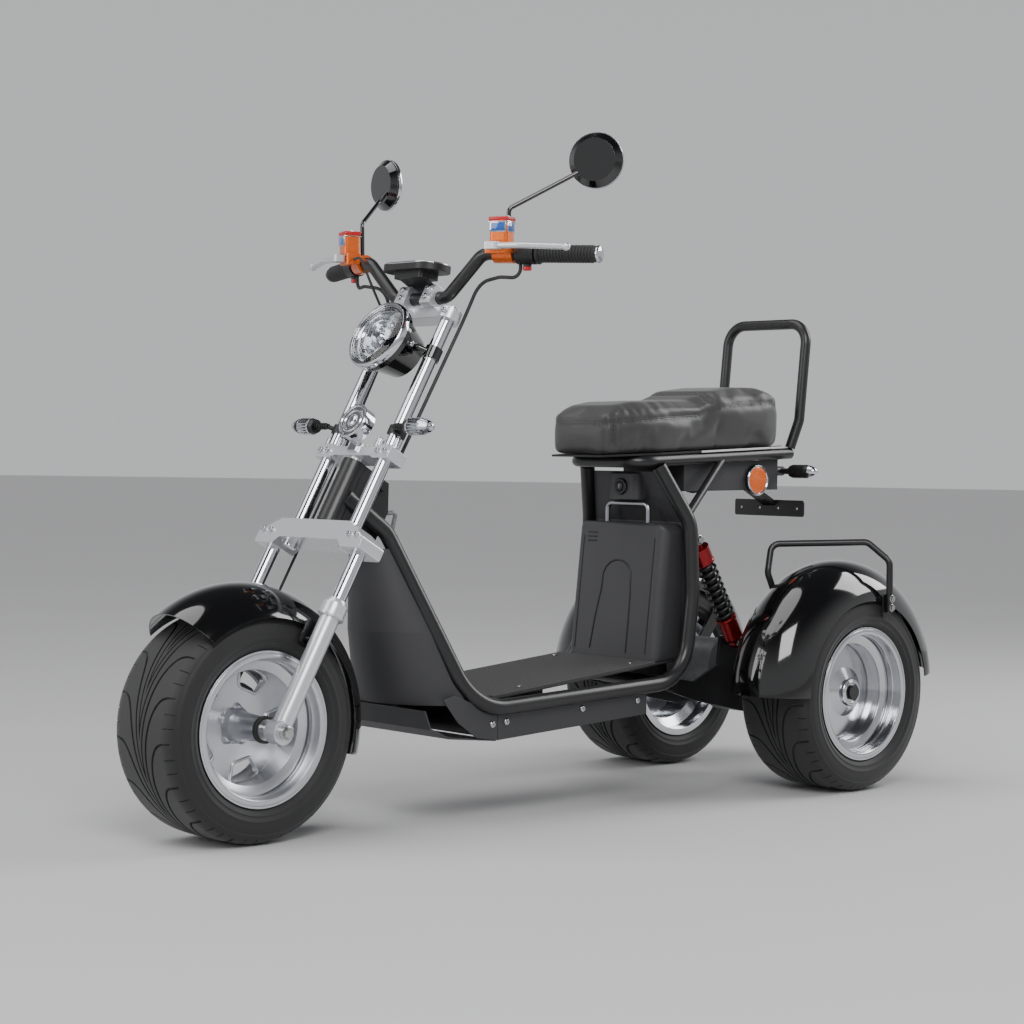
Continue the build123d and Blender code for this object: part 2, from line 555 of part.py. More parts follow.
with BuildPart() as front_signals:
    for way in (1, -1):
        add_signal(fork_spot(SIGNAL_UP, 26, way * 112), way)
        add_rod(fork_spot(SIGNAL_UP, 26, way * 118), fork_spot(SIGNAL_UP, 8, way * (UPPER_TUBE_SIDE + 4)), 5)
        add_rod(fork_spot(SIGNAL_UP - 9, 0, way * UPPER_TUBE_SIDE),
                fork_spot(SIGNAL_UP + 9, 0, way * UPPER_TUBE_SIDE), FORK_TUBE_RADIUS + 5)
    for way in (1, -1):
        cut_rod(fork_spot(SIGNAL_UP - 20, 0, way * UPPER_TUBE_SIDE),
                fork_spot(SIGNAL_UP + 20, 0, way * UPPER_TUBE_SIDE), FORK_TUBE_RADIUS + SEAT_GAP)
finish(front_signals.part, "front_signals")


def add_fender(centre, crown, edge, start, end):
    """Adds a fender shell round a wheel, from the start angle to the end angle above level."""
    half = FENDER_HALF_WIDTH
    plane = Plane(origin=centre, x_dir=(0, 1, 0), z_dir=(sin(radians(start)), 0, -cos(radians(start))))
    with BuildSketch(plane) as section:
        with BuildLine():
            ThreePointArc((-half, edge), (0, crown), (half, edge))
            Line((half, edge), (half - FENDER_WALL, edge))
            ThreePointArc((half - FENDER_WALL, edge), (0, crown - FENDER_WALL), (-half + FENDER_WALL, edge))
            Line((-half + FENDER_WALL, edge), (-half, edge))
        make_face()
    revolve(section.sketch, axis=Axis(centre, (0, -1, 0)), revolution_arc=end - start)


def cut_fender_seat(centre, crown, edge):
    """Cuts away what lies inside a fender's outer face, with the seat gap round it."""
    with BuildSketch(wheel_plane(centre)) as section:
        with BuildLine():
            ThreePointArc((-FENDER_HALF_WIDTH - SEAT_GAP, edge), (0, crown + SEAT_GAP),
                          (FENDER_HALF_WIDTH + SEAT_GAP, edge))
            Polyline((FENDER_HALF_WIDTH + SEAT_GAP, edge), (FENDER_HALF_WIDTH + SEAT_GAP, 0),
                     (-FENDER_HALF_WIDTH - SEAT_GAP, 0), (-FENDER_HALF_WIDTH - SEAT_GAP, edge))
        make_face()
    revolve(section.sketch, axis=Axis(centre, (0, 1, 0)), mode=Mode.SUBTRACT)


FENDER_BOLT_UP = 207.0
SLIDER_INNER_SIDE = LOWER_TUBE_SIDE - SLIDER_RADIUS
with BuildPart() as front_fender:
    add_fender(FRONT_AXLE, FRONT_FENDER_RADIUS, FRONT_FENDER_EDGE_RADIUS, FRONT_FENDER_START,
               FRONT_FENDER_END)
    with BuildSketch(fork_side(FENDER_HALF_WIDTH + 3)) as plate:
        with Locations((0, (FENDER_BOLT_UP + FRONT_FENDER_EDGE_RADIUS) / 2)):
            RectangleRounded(56, FRONT_FENDER_EDGE_RADIUS - FENDER_BOLT_UP + 32, 8)
    extrude(plate.sketch, amount=3.4)
    with BuildSketch(fork_side(FENDER_HALF_WIDTH + 3)) as ledge:
        with Locations((0, FRONT_FENDER_EDGE_RADIUS + 6)):
            Rectangle(50, 9)
    extrude(ledge.sketch, amount=9)
    add_rod(fork_spot(FENDER_BOLT_UP, 0, FENDER_HALF_WIDTH + 2),
            fork_spot(FENDER_BOLT_UP, 0, SLIDER_INNER_SIDE + 8), 9)
    mirror(about=Plane.XZ)
    for way in (1, -1):
        cut_rod(fork_spot(SLIDER_BOTTOM, 0, way * LOWER_TUBE_SIDE),
                fork_spot(SLIDER_TOP, 0, way * LOWER_TUBE_SIDE),
                SLIDER_RADIUS + SEAT_GAP)
finish(front_fender.part, "front_fender")

with BuildPart() as rear_fenders:
    for way in (1, -1):
        add_fender(spot(0, way * REAR_WHEEL_SIDE, TYRE_RADIUS), REAR_FENDER_RADIUS, REAR_FENDER_EDGE_RADIUS,
                   REAR_FENDER_START, REAR_FENDER_END)
finish(rear_fenders.part, "rear_fenders")

# Guards over the rear fenders, each with a foot plate on the fender's outer edge
GUARD = [(124, 216, 474), (148, 212, 528), (128, 206, 598), (-38, 372, 606), (-54, 428, 562), (-56, 428, 436)]
with BuildPart() as fender_guards:
    sweep_tube([spot(*point) for point in GUARD], [24, 24, 24, 24], GUARD_RADIUS)
    foot_side = REAR_WHEEL_SIDE + FENDER_HALF_WIDTH + SEAT_GAP
    with BuildSketch(side_plane(foot_side + 4)) as foot:
        with Locations((GUARD[-1][0], GUARD[-1][2] + 16)):
            RectangleRounded(30, 58, 6)
    extrude(foot.sketch, amount=4)
    cut_fender_seat(spot(0, REAR_WHEEL_SIDE, TYRE_RADIUS), REAR_FENDER_RADIUS, REAR_FENDER_EDGE_RADIUS)
    mirror(about=Plane.XZ)
finish(fender_guards.part, "fender_guards")

# Frame loops: neck, down tube, foot rail, upright and seat joint on each side
FOOT_LINE_X = 1007.0
FOOT_LINE_Z = 252.8
SEAT_LINE_X = 460.0
SEAT_LINE_Z = 797.0
SEAT_RISE = 2.75
SEAT_RAIL_REAR = -44.0
SEAT_RAIL_FRONT = 515.0


def rail_height(ahead):
    """The foot rail's middle line above the ground."""
    return FOOT_LINE_Z + (FOOT_LINE_X - ahead) * tan(radians(FRAME_RISE))


def seat_height(ahead):
    """The seat rail's middle line above the ground."""
    return SEAT_LINE_Z + (SEAT_LINE_X - ahead) * tan(radians(SEAT_RISE))


HEAD_BOTTOM = LOWER_YOKE_TOP + HEAD_TUBE_CLEARANCE
HEAD_TOP = MID_YOKE_BOTTOM - HEAD_TUBE_CLEARANCE
UPRIGHT_X = 384.0
LOOP_BENDS = [60, 120, 110, 250, 90]
LOOP = [(1322, 20, 712), (1228, 45, 636), (1085, RAIL_SIDE, rail_height(1085)),
        (412, RAIL_SIDE, rail_height(412)), (UPRIGHT_X, 178, 480), (UPRIGHT_X, 168, 650),
        (445, SEAT_RAIL_SIDE + 4, 784)]


def loop_route(way):
    """The middle line's corner points of the frame loop on one side, 1 left and -1 right."""
    return [spot(x, way * y, z) for x, y, z in LOOP]


def cut_loop_seat(way):
    """Cuts the seat of one frame loop into the part being built."""
    sweep_tube(loop_route(way), LOOP_BENDS, RAIL_RADIUS + SEAT_GAP, mode=Mode.SUBTRACT)


def cut_loop_seats():
    """Cuts the seats of both frame loops into the part being built."""
    for way in (1, -1):
        cut_loop_seat(way)


def cut_seat_rail_seats():
    """Cuts the seats of the seat rail's two sides into the part being built."""
    for way in (1, -1):
        cut_rod(spot(SEAT_RAIL_REAR - 60, way * SEAT_RAIL_SIDE, seat_height(SEAT_RAIL_REAR - 60)),
                spot(SEAT_RAIL_FRONT, way * SEAT_RAIL_SIDE, seat_height(SEAT_RAIL_FRONT)),
                SEAT_RAIL_RADIUS + SEAT_GAP)


for name, way in (("left", 1), ("right", -1)):
    with BuildPart() as frame_loop:
        sweep_tube(loop_route(way), LOOP_BENDS, RAIL_RADIUS)
        cut_rod(fork_spot(HEAD_BOTTOM - 30), fork_spot(HEAD_TOP + 30), HEAD_TUBE_RADIUS + SEAT_GAP)
        cut_seat_rail_seats()
        split(bisect_by=Plane(origin=spot(0, way * SEAT_GAP / 2, 0), z_dir=(0, way, 0)), keep=Keep.TOP)
    finish(frame_loop.part, f"frame_{name}_loop")

# Head tube with the neck block behind it; the charging socket sits on the block's left face
NECK_HALF = 24.0
SOCKET_UP = 606.0
SOCKET_AHEAD = -66.0
with BuildPart() as head_tube:
    add_rod(fork_spot(HEAD_BOTTOM), fork_spot(HEAD_TOP), HEAD_TUBE_RADIUS)
    with BuildSketch(fork_side(NECK_HALF)) as block:
        with BuildLine():
            Polyline((0, HEAD_BOTTOM), (0, HEAD_TOP), (-88, HEAD_TOP), (-118, 572), (-118, 500),
                     (-70, HEAD_BOTTOM), close=True)
        make_face()
    extrude(block.sketch, amount=2 * NECK_HALF)
    cut_rod(fork_spot(HEAD_BOTTOM - 1), fork_spot(HEAD_TOP + 1), STEM_RADIUS + SHAFT_GAP)
    cut_loop_seats()
finish(head_tube.part, "head_tube")

with BuildPart() as charge_socket:
    add_rod(fork_spot(SOCKET_UP, SOCKET_AHEAD, NECK_HALF + SEAT_GAP), fork_spot(SOCKET_UP, SOCKET_AHEAD, 36),
            16)
    add_rod(fork_spot(SOCKET_UP, SOCKET_AHEAD, 35), fork_spot(SOCKET_UP, SOCKET_AHEAD, 46), 11)
finish(charge_socket.part, "charge_socket")

HOOK_ROOT = -118.0
with BuildPart() as bag_hook:
    sweep_tube([fork_spot(562, HOOK_ROOT + 8), fork_spot(592, HOOK_ROOT - 38), fork_spot(536, HOOK_ROOT - 52),
                fork_spot(530, HOOK_ROOT + 8)], 8, 5)
    split(bisect_by=Plane(origin=fork_spot(0, HOOK_ROOT - SEAT_GAP), z_dir=AHEAD_FORK * -1), keep=Keep.TOP)
finish(bag_hook.part, "bag_hook")

# Cross tubes between the loops: (ahead, up, radius, half length)
CROSS_TUBES = [(960.0, rail_height(960), 14.0, RAIL_SIDE - 4), (460.0, rail_height(460), 14.0, RAIL_SIDE - 4),
               (366.0, 646.0, 12.0, 150.8)]
SHOCK_TOP = (346.0, 150.0, 609.0)
SHOCK_FOOT = (190.0, 150.0, 355.0)
PIN_RADIUS = 6.0
EYE_RADIUS = 14.0
EYE_HALF = 9.0
LUG_WALL = 5.0
LUG_SIDE = SHOCK_TOP[1] - EYE_HALF - 2
PIVOT = (392.0, 262.0)
PIVOT_LUG_SIDE = 122.0
with BuildPart() as frame_crossbars:
    for ahead, up, radius, reach in CROSS_TUBES:
        add_rod(spot(ahead, -reach, up), spot(ahead, reach, up), radius)
    for side in (LUG_SIDE, -LUG_SIDE + LUG_WALL):
        with BuildSketch(side_plane(side)) as lug:
            with BuildLine():
                Polyline((372, 640), (362, 655), (334, 616), (337, 599), (354, 600), close=True)
            make_face()
        extrude(lug.sketch, amount=LUG_WALL)
    for side in (PIVOT_LUG_SIDE + LUG_WALL, -PIVOT_LUG_SIDE):
        with BuildSketch(side_plane(side)) as lug:
            with BuildLine():
                Polyline((460, 284), (PIVOT[0] - 4, PIVOT[1] + 18), (PIVOT[0] - 16, PIVOT[1]),
                         (PIVOT[0] - 4, PIVOT[1] - 18), (460, 264), close=True)
            make_face()
        extrude(lug.sketch, amount=LUG_WALL)
        cut_rod(spot(PIVOT[0], side - 10, PIVOT[1]), spot(PIVOT[0], side + 10, PIVOT[1]),
                PIN_RADIUS + SEAT_GAP)
    for way in (1, -1):
        add_rod(spot(SHOCK_TOP[0], way * (LUG_SIDE - 3), SHOCK_TOP[2]),
                spot(SHOCK_TOP[0], way * (SHOCK_TOP[1] + EYE_HALF + 5), SHOCK_TOP[2]), PIN_RADIUS)
    cut_loop_seats()
finish(frame_crossbars.part, "frame_crossbars")

# Seat rail, a tube bent round under the seat, with its two struts welded on
STRUT_RADIUS = 10.0
SEAT_RAIL_CORNERS = [(SEAT_RAIL_REAR, 1), (SEAT_RAIL_FRONT, 1), (SEAT_RAIL_FRONT, -1), (SEAT_RAIL_REAR, -1)]
with BuildPart() as seat_rail:
    sweep_tube([spot(x, way * SEAT_RAIL_SIDE, seat_height(x)) for x, way in SEAT_RAIL_CORNERS], 55,
               SEAT_RAIL_RADIUS)
    for way in (1, -1):
        add_rod(spot(208, way * SEAT_RAIL_SIDE, seat_height(208)), spot(388, way * 164, 672), STRUT_RADIUS)
    cut_loop_seats()
finish(seat_rail.part, "seat_rail")

# Footboard and its rubber mat
FLOOR_FRONT = 1018.0
FLOOR_REAR = 398.0
FLOOR_Z = 325.0
FLOOR_X = 484.0
FLOOR_SLOPE = 0.092


def floor_height(ahead):
    """The top of the rubber mat above the ground."""
    return FLOOR_Z - (ahead - FLOOR_X) * FLOOR_SLOPE


def add_floor(front, rear, drop, thickness, half_width):
    """Adds a sloping sheet under the mat's top face."""
    with BuildSketch(side_plane(half_width)) as section:
        with BuildLine():
            Polyline((front, floor_height(front) - drop), (rear, floor_height(rear) - drop),
                     (rear, floor_height(rear) - drop - thickness),
                     (front, floor_height(front) - drop - thickness), close=True)
        make_face()
    extrude(section.sketch, amount=2 * half_width)


with BuildPart() as footboard:
    add_floor(FLOOR_FRONT, FLOOR_REAR, MAT_THICKNESS, FOOTBOARD_THICKNESS, RAIL_SIDE - RAIL_RADIUS - SEAT_GAP)
    cut_loop_seats()
finish(footboard.part, "footboard")

with BuildPart() as foot_mat:
    add_floor(FLOOR_FRONT - 4, FLOOR_X + 8, 0, MAT_THICKNESS, RAIL_SIDE - RAIL_RADIUS - SEAT_GAP)
finish(foot_mat.part, "foot_mat")

# Skirts under the rails, front and rear pieces on each side, and the pans between them
SKIRT_JOINT = 1012.0
JOINT_GAP = 2.0
SKIRT_REAR = 535.0
SKIRT_SIDE = 176.0
SKIRT_WALL = 3.0
REAR_SKIRT = [(SKIRT_JOINT - JOINT_GAP / 2, rail_height(SKIRT_JOINT)), (SKIRT_REAR, rail_height(SKIRT_REAR)),
              (SKIRT_REAR, 205), (SKIRT_JOINT - JOINT_GAP / 2, 180)]
FRONT_SKIRT = [(SKIRT_JOINT + JOINT_GAP / 2, 180), (1074, 190), (1128, 226), (1172, 278), (1140, 286),
               (1092, 268), (1050, 254), (SKIRT_JOINT + JOINT_GAP / 2, rail_height(SKIRT_JOINT))]
with BuildPart() as side_skirts:
    for outline in (REAR_SKIRT, FRONT_SKIRT):
        with BuildSketch(side_plane(SKIRT_WALL - SKIRT_SIDE)) as skirt:
            with BuildLine():
                Polyline(*outline, close=True)
            make_face()
        extrude(skirt.sketch, amount=SKIRT_WALL)
    cut_loop_seat(-1)
    mirror(about=Plane.XZ)
finish(side_skirts.part, "side_skirts")

PAN_HALF = SKIRT_SIDE - SKIRT_WALL - SEAT_GAP
BELLY_PAN = [(SKIRT_JOINT - JOINT_GAP / 2, 183), (SKIRT_REAR + 2, 208), (SKIRT_REAR + 2, 211),
             (SKIRT_JOINT - JOINT_GAP / 2, 186)]
CHIN_PAN = [(1222, 258), (1205, 216), (1150, 192), (SKIRT_JOINT + JOINT_GAP / 2, 178),
            (SKIRT_JOINT + JOINT_GAP / 2, 181), (1149, 195), (1203, 219), (1219, 258)]
with BuildPart() as under_pans:
    for outline in (BELLY_PAN, CHIN_PAN):
        with BuildSketch(side_plane(PAN_HALF)) as pan:
            with BuildLine():
                Polyline(*outline, close=True)
            make_face()
        extrude(pan.sketch, amount=2 * PAN_HALF)
finish(under_pans.part, "under_pans")

# Leg shield: a sheet bowed forward in front of the down tubes, (up, edge ahead, half width, crown ahead)
SHIELD_ROWS = [(600.0, 1226.0, 64.0, 1276.0), (420.0, 1158.0, 128.0, 1258.0), (262.0, 1102.0, 172.0, 1222.0)]
SHIELD_WALL = 3.0
with BuildPart() as leg_shield:
    for up, edge, half, crown in SHIELD_ROWS:
        with BuildSketch(Plane(origin=spot(0, 0, up))) as row:
            with BuildLine():
                ThreePointArc((edge, -half), (crown, 0), (edge, half))
                Line((edge, half), (edge - SHIELD_WALL, half))
                ThreePointArc((edge - SHIELD_WALL, half), (crown - SHIELD_WALL, 0),
                              (edge - SHIELD_WALL, -half))
                Line((edge - SHIELD_WALL, -half), (edge, -half))
            make_face()
    loft(ruled=True)
    cut_loop_seats()
finish(leg_shield.part, "leg_shield")

# Bay panel between the uprights, with the lock; the battery box stands in front of it with its handle
BAY_WALL = 4.0
BAY_LEAN_X = 437.0
BAY_LEAN_Z = 772.0
LOCK_AHEAD = 424.0
with BuildPart() as bay_panel:
    with BuildSketch(side_plane(200)) as section:
        with BuildLine():
            Polyline((UPRIGHT_X, 330), (UPRIGHT_X, 652), (BAY_LEAN_X, BAY_LEAN_Z),
                     (BAY_LEAN_X - BAY_WALL, BAY_LEAN_Z),
                     (UPRIGHT_X - BAY_WALL, 653), (UPRIGHT_X - BAY_WALL, 330), close=True)
        make_face()
    extrude(section.sketch, amount=400)
    with BuildSketch(Plane(origin=spot(300, 0, 0), x_dir=(0, 1, 0), z_dir=(1, 0, 0))) as outline:
        with BuildLine():
            Polyline((-178, 325), (-178, 480), (-168, 650), (-120, 784), (120, 784), (168, 650), (178, 480),
                     (178, 325), close=True)
        make_face()
    extrude(outline.sketch, amount=200, mode=Mode.INTERSECT)
    cut_loop_seats()
    with BuildSketch(Plane(origin=spot(0, 0, 704))) as lock:
        with Locations((LOCK_AHEAD, 0)):
            RectangleRounded(50, 100, 20)
    extrude(lock.sketch, amount=62)
finish(bay_panel.part, "bay_panel")

BATTERY_FRONT = 484.0
BATTERY_TOP_FRONT = 449.0
BATTERY_TOP = 648.0
BATTERY_REAR = UPRIGHT_X + SEAT_GAP
BATTERY_FLOOR_GAP = MAT_THICKNESS - SEAT_GAP
with BuildPart() as battery_box:
    with BuildSketch(side_plane(BATTERY_HALF_WIDTH)) as section:
        with BuildLine():
            Polyline((BATTERY_FRONT, floor_height(BATTERY_FRONT) - BATTERY_FLOOR_GAP),
                     (BATTERY_TOP_FRONT, BATTERY_TOP), (BATTERY_REAR, BATTERY_TOP),
                     (BATTERY_REAR, floor_height(BATTERY_REAR) - BATTERY_FLOOR_GAP), close=True)
        make_face()
    extrude(section.sketch, amount=2 * BATTERY_HALF_WIDTH)
    fillet(battery_box.edges().filter_by(Axis.Y).sort_by(Axis.Z)[-2:].sort_by(Axis.X)[-1:], 10)
    fillet(battery_box.edges().filter_by(Axis.X).sort_by(Axis.Z)[-2:], 26)
finish(battery_box.part, "battery_box")

HANDLE_X = 424.0
HANDLE_HALF = 68.0
with BuildPart() as battery_handle:
    sweep_tube([spot(HANDLE_X, -HANDLE_HALF, BATTERY_TOP + SEAT_GAP), spot(HANDLE_X, -HANDLE_HALF, 694),
                spot(HANDLE_X, HANDLE_HALF, 694), spot(HANDLE_X, HANDLE_HALF, BATTERY_TOP + SEAT_GAP)], 16, 6)
finish(battery_handle.part, "battery_handle")

# Seat pan and cushion
PAN_WALL = 5.0
CUSHION_GAP = 0.5


def seat_plan(front_half, rear_half, front, rear):
    """The seat's outline seen from above, as corner points."""
    return [(front, -front_half), (front, front_half), (front - 160, rear_half - 4), (rear + 60, rear_half),
            (rear, rear_half - 34), (rear, -rear_half + 34), (rear + 60, -rear_half),
            (front - 160, -rear_half + 4)]


SEAT_FRONT = 612.0
SEAT_BACK = -26.0
SEAT_FRONT_HALF = 92.0
SEAT_FLOOR = seat_height(0) + SEAT_RAIL_RADIUS + SEAT_GAP
with BuildPart() as seat_base:
    slope = tan(radians(SEAT_RISE))
    plan = Plane(origin=spot(0, 0, SEAT_FLOOR), x_dir=(1, 0, -slope), z_dir=(slope, 0, 1))
    with BuildSketch(plan) as section:
        with BuildLine():
            Polyline(*seat_plan(SEAT_FRONT_HALF - 8, SEAT_HALF_WIDTH + 2, SEAT_FRONT - 8, SEAT_BACK + 8),
                     close=True)
        make_face()
    extrude(section.sketch, amount=PAN_WALL)
finish(seat_base.part, "seat_base")

SEAT_SIDE_OUTLINE = [(SEAT_FRONT, 868), (575, 890), (500, 912), (385, 930), (300, 936), (240, 960),
                     (150, 972), (60, 974), (0, 962), (SEAT_BACK, 930)]
with BuildPart() as seat_cushion:
    cushion_floor = SEAT_FLOOR + PAN_WALL + CUSHION_GAP
    with BuildSketch(side_plane(200)) as section:
        with BuildLine():
            Polyline((SEAT_FRONT, cushion_floor - SEAT_FRONT * slope), *SEAT_SIDE_OUTLINE,
                     (SEAT_BACK, cushion_floor - SEAT_BACK * slope), close=True)
        make_face()
    extrude(section.sketch, amount=400)
    with BuildSketch(Plane(origin=spot(0, 0, 780))) as section:
        with BuildLine():
            Polyline(*seat_plan(SEAT_FRONT_HALF, SEAT_HALF_WIDTH + 11, SEAT_FRONT, SEAT_BACK), close=True)
        make_face()
        fillet(section.vertices(), 22)
    extrude(section.sketch, amount=220, mode=Mode.INTERSECT)
finish(seat_cushion.part, "seat_cushion")

# Backrest hoop on the rear ends of the seat rail
with BuildPart() as backrest_hoop:
    sweep_tube([spot(SEAT_RAIL_REAR + 2, SEAT_RAIL_SIDE + 2, seat_height(SEAT_RAIL_REAR) + 13.5),
                spot(-62, HOOP_SIDE, 905), spot(-88, HOOP_SIDE, 1151), spot(-88, -HOOP_SIDE, 1151),
                spot(-62, -HOOP_SIDE, 905),
                spot(SEAT_RAIL_REAR + 2, -SEAT_RAIL_SIDE - 2, seat_height(SEAT_RAIL_REAR) + 13.5)],
               [60, 52, 52, 60], HOOP_RADIUS)
    cut_seat_rail_seats()
finish(backrest_hoop.part, "backrest_hoop")

# Tail box between the seat rails, with reflectors, lamp, signals and the plate bracket
TAIL_REAR = -15.0
TAIL_FRONT = 336.0
TAIL_BOTTOM = 727.0
TAIL_HALF = SEAT_RAIL_SIDE - SEAT_RAIL_RADIUS - SEAT_GAP
with BuildPart() as tail_box:
    with BuildSketch(side_plane(TAIL_HALF)) as section:
        with BuildLine():
            Polyline((TAIL_FRONT, TAIL_BOTTOM - 2), (TAIL_FRONT, seat_height(TAIL_FRONT)),
                     (TAIL_REAR, seat_height(TAIL_REAR)), (TAIL_REAR, TAIL_BOTTOM + 2), close=True)
        make_face()
    extrude(section.sketch, amount=2 * TAIL_HALF)
finish(tail_box.part, "tail_box")

REFLECTOR = (72.0, 753.0, 38.0)
with BuildPart() as side_reflectors:
    for way in (1, -1):
        x, z, radius = REFLECTOR
        add_rod(spot(x, way * (TAIL_HALF + SEAT_GAP), z), spot(x, way * (TAIL_HALF + 9), z), radius * 0.98)
finish(side_reflectors.part, "side_reflectors")

with BuildPart() as tail_lamp:
    lamp_face = Plane(origin=spot(TAIL_REAR - SEAT_GAP, 0, 768), x_dir=(0, 1, 0), z_dir=(-1, 0, 0))
    with BuildSketch(lamp_face) as lamp:
        RectangleRounded(120, 46, 12)
    extrude(lamp.sketch, amount=26)
finish(tail_lamp.part, "tail_lamp")

REAR_SIGNAL_Z = 776.0
with BuildPart() as rear_signals:
    for way in (1, -1):
        boss = spot(TAIL_REAR - SEAT_GAP, way * (TAIL_HALF - 14), REAR_SIGNAL_Z)
        add_rod(boss, boss - Vector(34, 0, 0), 12)
        add_signal(boss + Vector(-20, 0, 0), way)
finish(rear_signals.part, "rear_signals")

PLATE_BAR_X = -104.0
PLATE_BAR_Z = 680.0
PLATE_BAR_HALF = 115.0
PLATE_BAR_HEIGHT = 42.0
PLATE_HOLE_RADIUS = 3.5
PLATE_HOLE_SPACING = 62.0
with BuildPart() as plate_bracket:
    face = Plane(origin=spot(PLATE_BAR_X, 0, PLATE_BAR_Z), x_dir=(0, 1, 0), z_dir=(-1, 0, 0))
    with BuildSketch(face) as bar:
        RectangleRounded(2 * PLATE_BAR_HALF, PLATE_BAR_HEIGHT, 6)
        with GridLocations(PLATE_HOLE_SPACING, PLATE_HOLE_SPACING, 4, 1):
            Circle(PLATE_HOLE_RADIUS, mode=Mode.SUBTRACT)
    extrude(bar.sketch, amount=4)
    with BuildSketch(side_plane(20)) as arm:
        with BuildLine():
            Polyline((TAIL_REAR - SEAT_GAP, 742), (TAIL_REAR - SEAT_GAP, 730), (PLATE_BAR_X, PLATE_BAR_Z + 6),
                     (PLATE_BAR_X, PLATE_BAR_Z + 20), close=True)
        make_face()
    extrude(arm.sketch, amount=40)
finish(plate_bracket.part, "plate_bracket")

# Rear axle, drive unit, swing arm, fender brackets and shock absorbers
AXLE_TUBE_RADIUS = 22.0
AXLE_TUBE_END = REAR_WHEEL_SIDE - 58.0
STUB_END = REAR_WHEEL_SIDE + REAR_DISH_DEPTH + 4 + SEAT_GAP
DRIVE_RADIUS = 78.0
DRIVE_HALF = 62.0
MOTOR_AHEAD = 118.0
MOTOR_RISE = 54.0
MOTOR_RADIUS = 62.0
with BuildPart() as rear_axle:
    add_rod(spot(0, DRIVE_HALF + SEAT_GAP, TYRE_RADIUS), spot(0, AXLE_TUBE_END, TYRE_RADIUS),
            AXLE_TUBE_RADIUS)
    add_rod(spot(0, AXLE_TUBE_END - 1, TYRE_RADIUS), spot(0, STUB_END + 1, TYRE_RADIUS), REAR_STUB_RADIUS)
    add_rod(spot(0, STUB_END, TYRE_RADIUS), spot(0, STUB_END + 11, TYRE_RADIUS), 18)
    mirror(about=Plane.XZ)
finish(rear_axle.part, "rear_axle")

with BuildPart() as drive_unit:
    add_rod(spot(0, -DRIVE_HALF, TYRE_RADIUS), spot(0, DRIVE_HALF, TYRE_RADIUS), DRIVE_RADIUS)
    add_rod(spot(MOTOR_AHEAD, -DRIVE_HALF - 30, TYRE_RADIUS + MOTOR_RISE),
            spot(MOTOR_AHEAD, DRIVE_HALF - 10, TYRE_RADIUS + MOTOR_RISE), MOTOR_RADIUS)
finish(drive_unit.part, "drive_unit")

ARM_SIDE = 108.0
ARM_WALL = 8.0
ARM_OUTLINE = [(PIVOT[0] + 10, PIVOT[1] + 16), (PIVOT[0] + 14, PIVOT[1] - 14), (300, 216), (120, 178),
               (-44, 190), (-48, 268), (40, 290), (SHOCK_FOOT[0] - 22, SHOCK_FOOT[2] + 18),
               (SHOCK_FOOT[0] + 18, SHOCK_FOOT[2] + 14), (SHOCK_FOOT[0] + 26, 300), (300, 262)]
with BuildPart() as swing_arm:
    with BuildSketch(side_plane(ARM_SIDE + ARM_WALL)) as arm:
        with BuildLine():
            Polyline(*ARM_OUTLINE, close=True)
        make_face()
    extrude(arm.sketch, amount=ARM_WALL)
    cut_rod(spot(0, ARM_SIDE - 10, TYRE_RADIUS), spot(0, ARM_SIDE + 20, TYRE_RADIUS),
            AXLE_TUBE_RADIUS + SEAT_GAP)
    add_rod(spot(SHOCK_FOOT[0], ARM_SIDE + 3, SHOCK_FOOT[2]),
            spot(SHOCK_FOOT[0], SHOCK_FOOT[1] + EYE_HALF + 4, SHOCK_FOOT[2]), PIN_RADIUS)
    add_rod(spot(PIVOT[0], ARM_SIDE, PIVOT[1]), spot(PIVOT[0], PIVOT_LUG_SIDE + LUG_WALL + 6, PIVOT[1]),
            PIN_RADIUS)
    mirror(about=Plane.XZ)
    add_rod(spot(PIVOT[0], -ARM_SIDE - 1, PIVOT[1]), spot(PIVOT[0], ARM_SIDE + 1, PIVOT[1]), 13)
finish(swing_arm.part, "swing_arm")

BRACKET_SIDE = REAR_WHEEL_SIDE - FENDER_HALF_WIDTH - SEAT_GAP
with BuildPart() as fender_brackets:
    with BuildSketch(side_plane(BRACKET_SIDE)) as bracket:
        with Locations((0, TYRE_RADIUS)):
            Circle(AXLE_TUBE_RADIUS + 16)
            for angle in (52, 128):
                with Locations(Rotation(0, 0, angle)):
                    with Locations((REAR_FENDER_EDGE_RADIUS / 2 + 6, 0)):
                        RectangleRounded(REAR_FENDER_EDGE_RADIUS + 12, 34, 8)
            Circle(AXLE_TUBE_RADIUS + SEAT_GAP, mode=Mode.SUBTRACT)
    extrude(bracket.sketch, amount=4)
    mirror(about=Plane.XZ)
finish(fender_brackets.part, "fender_brackets")

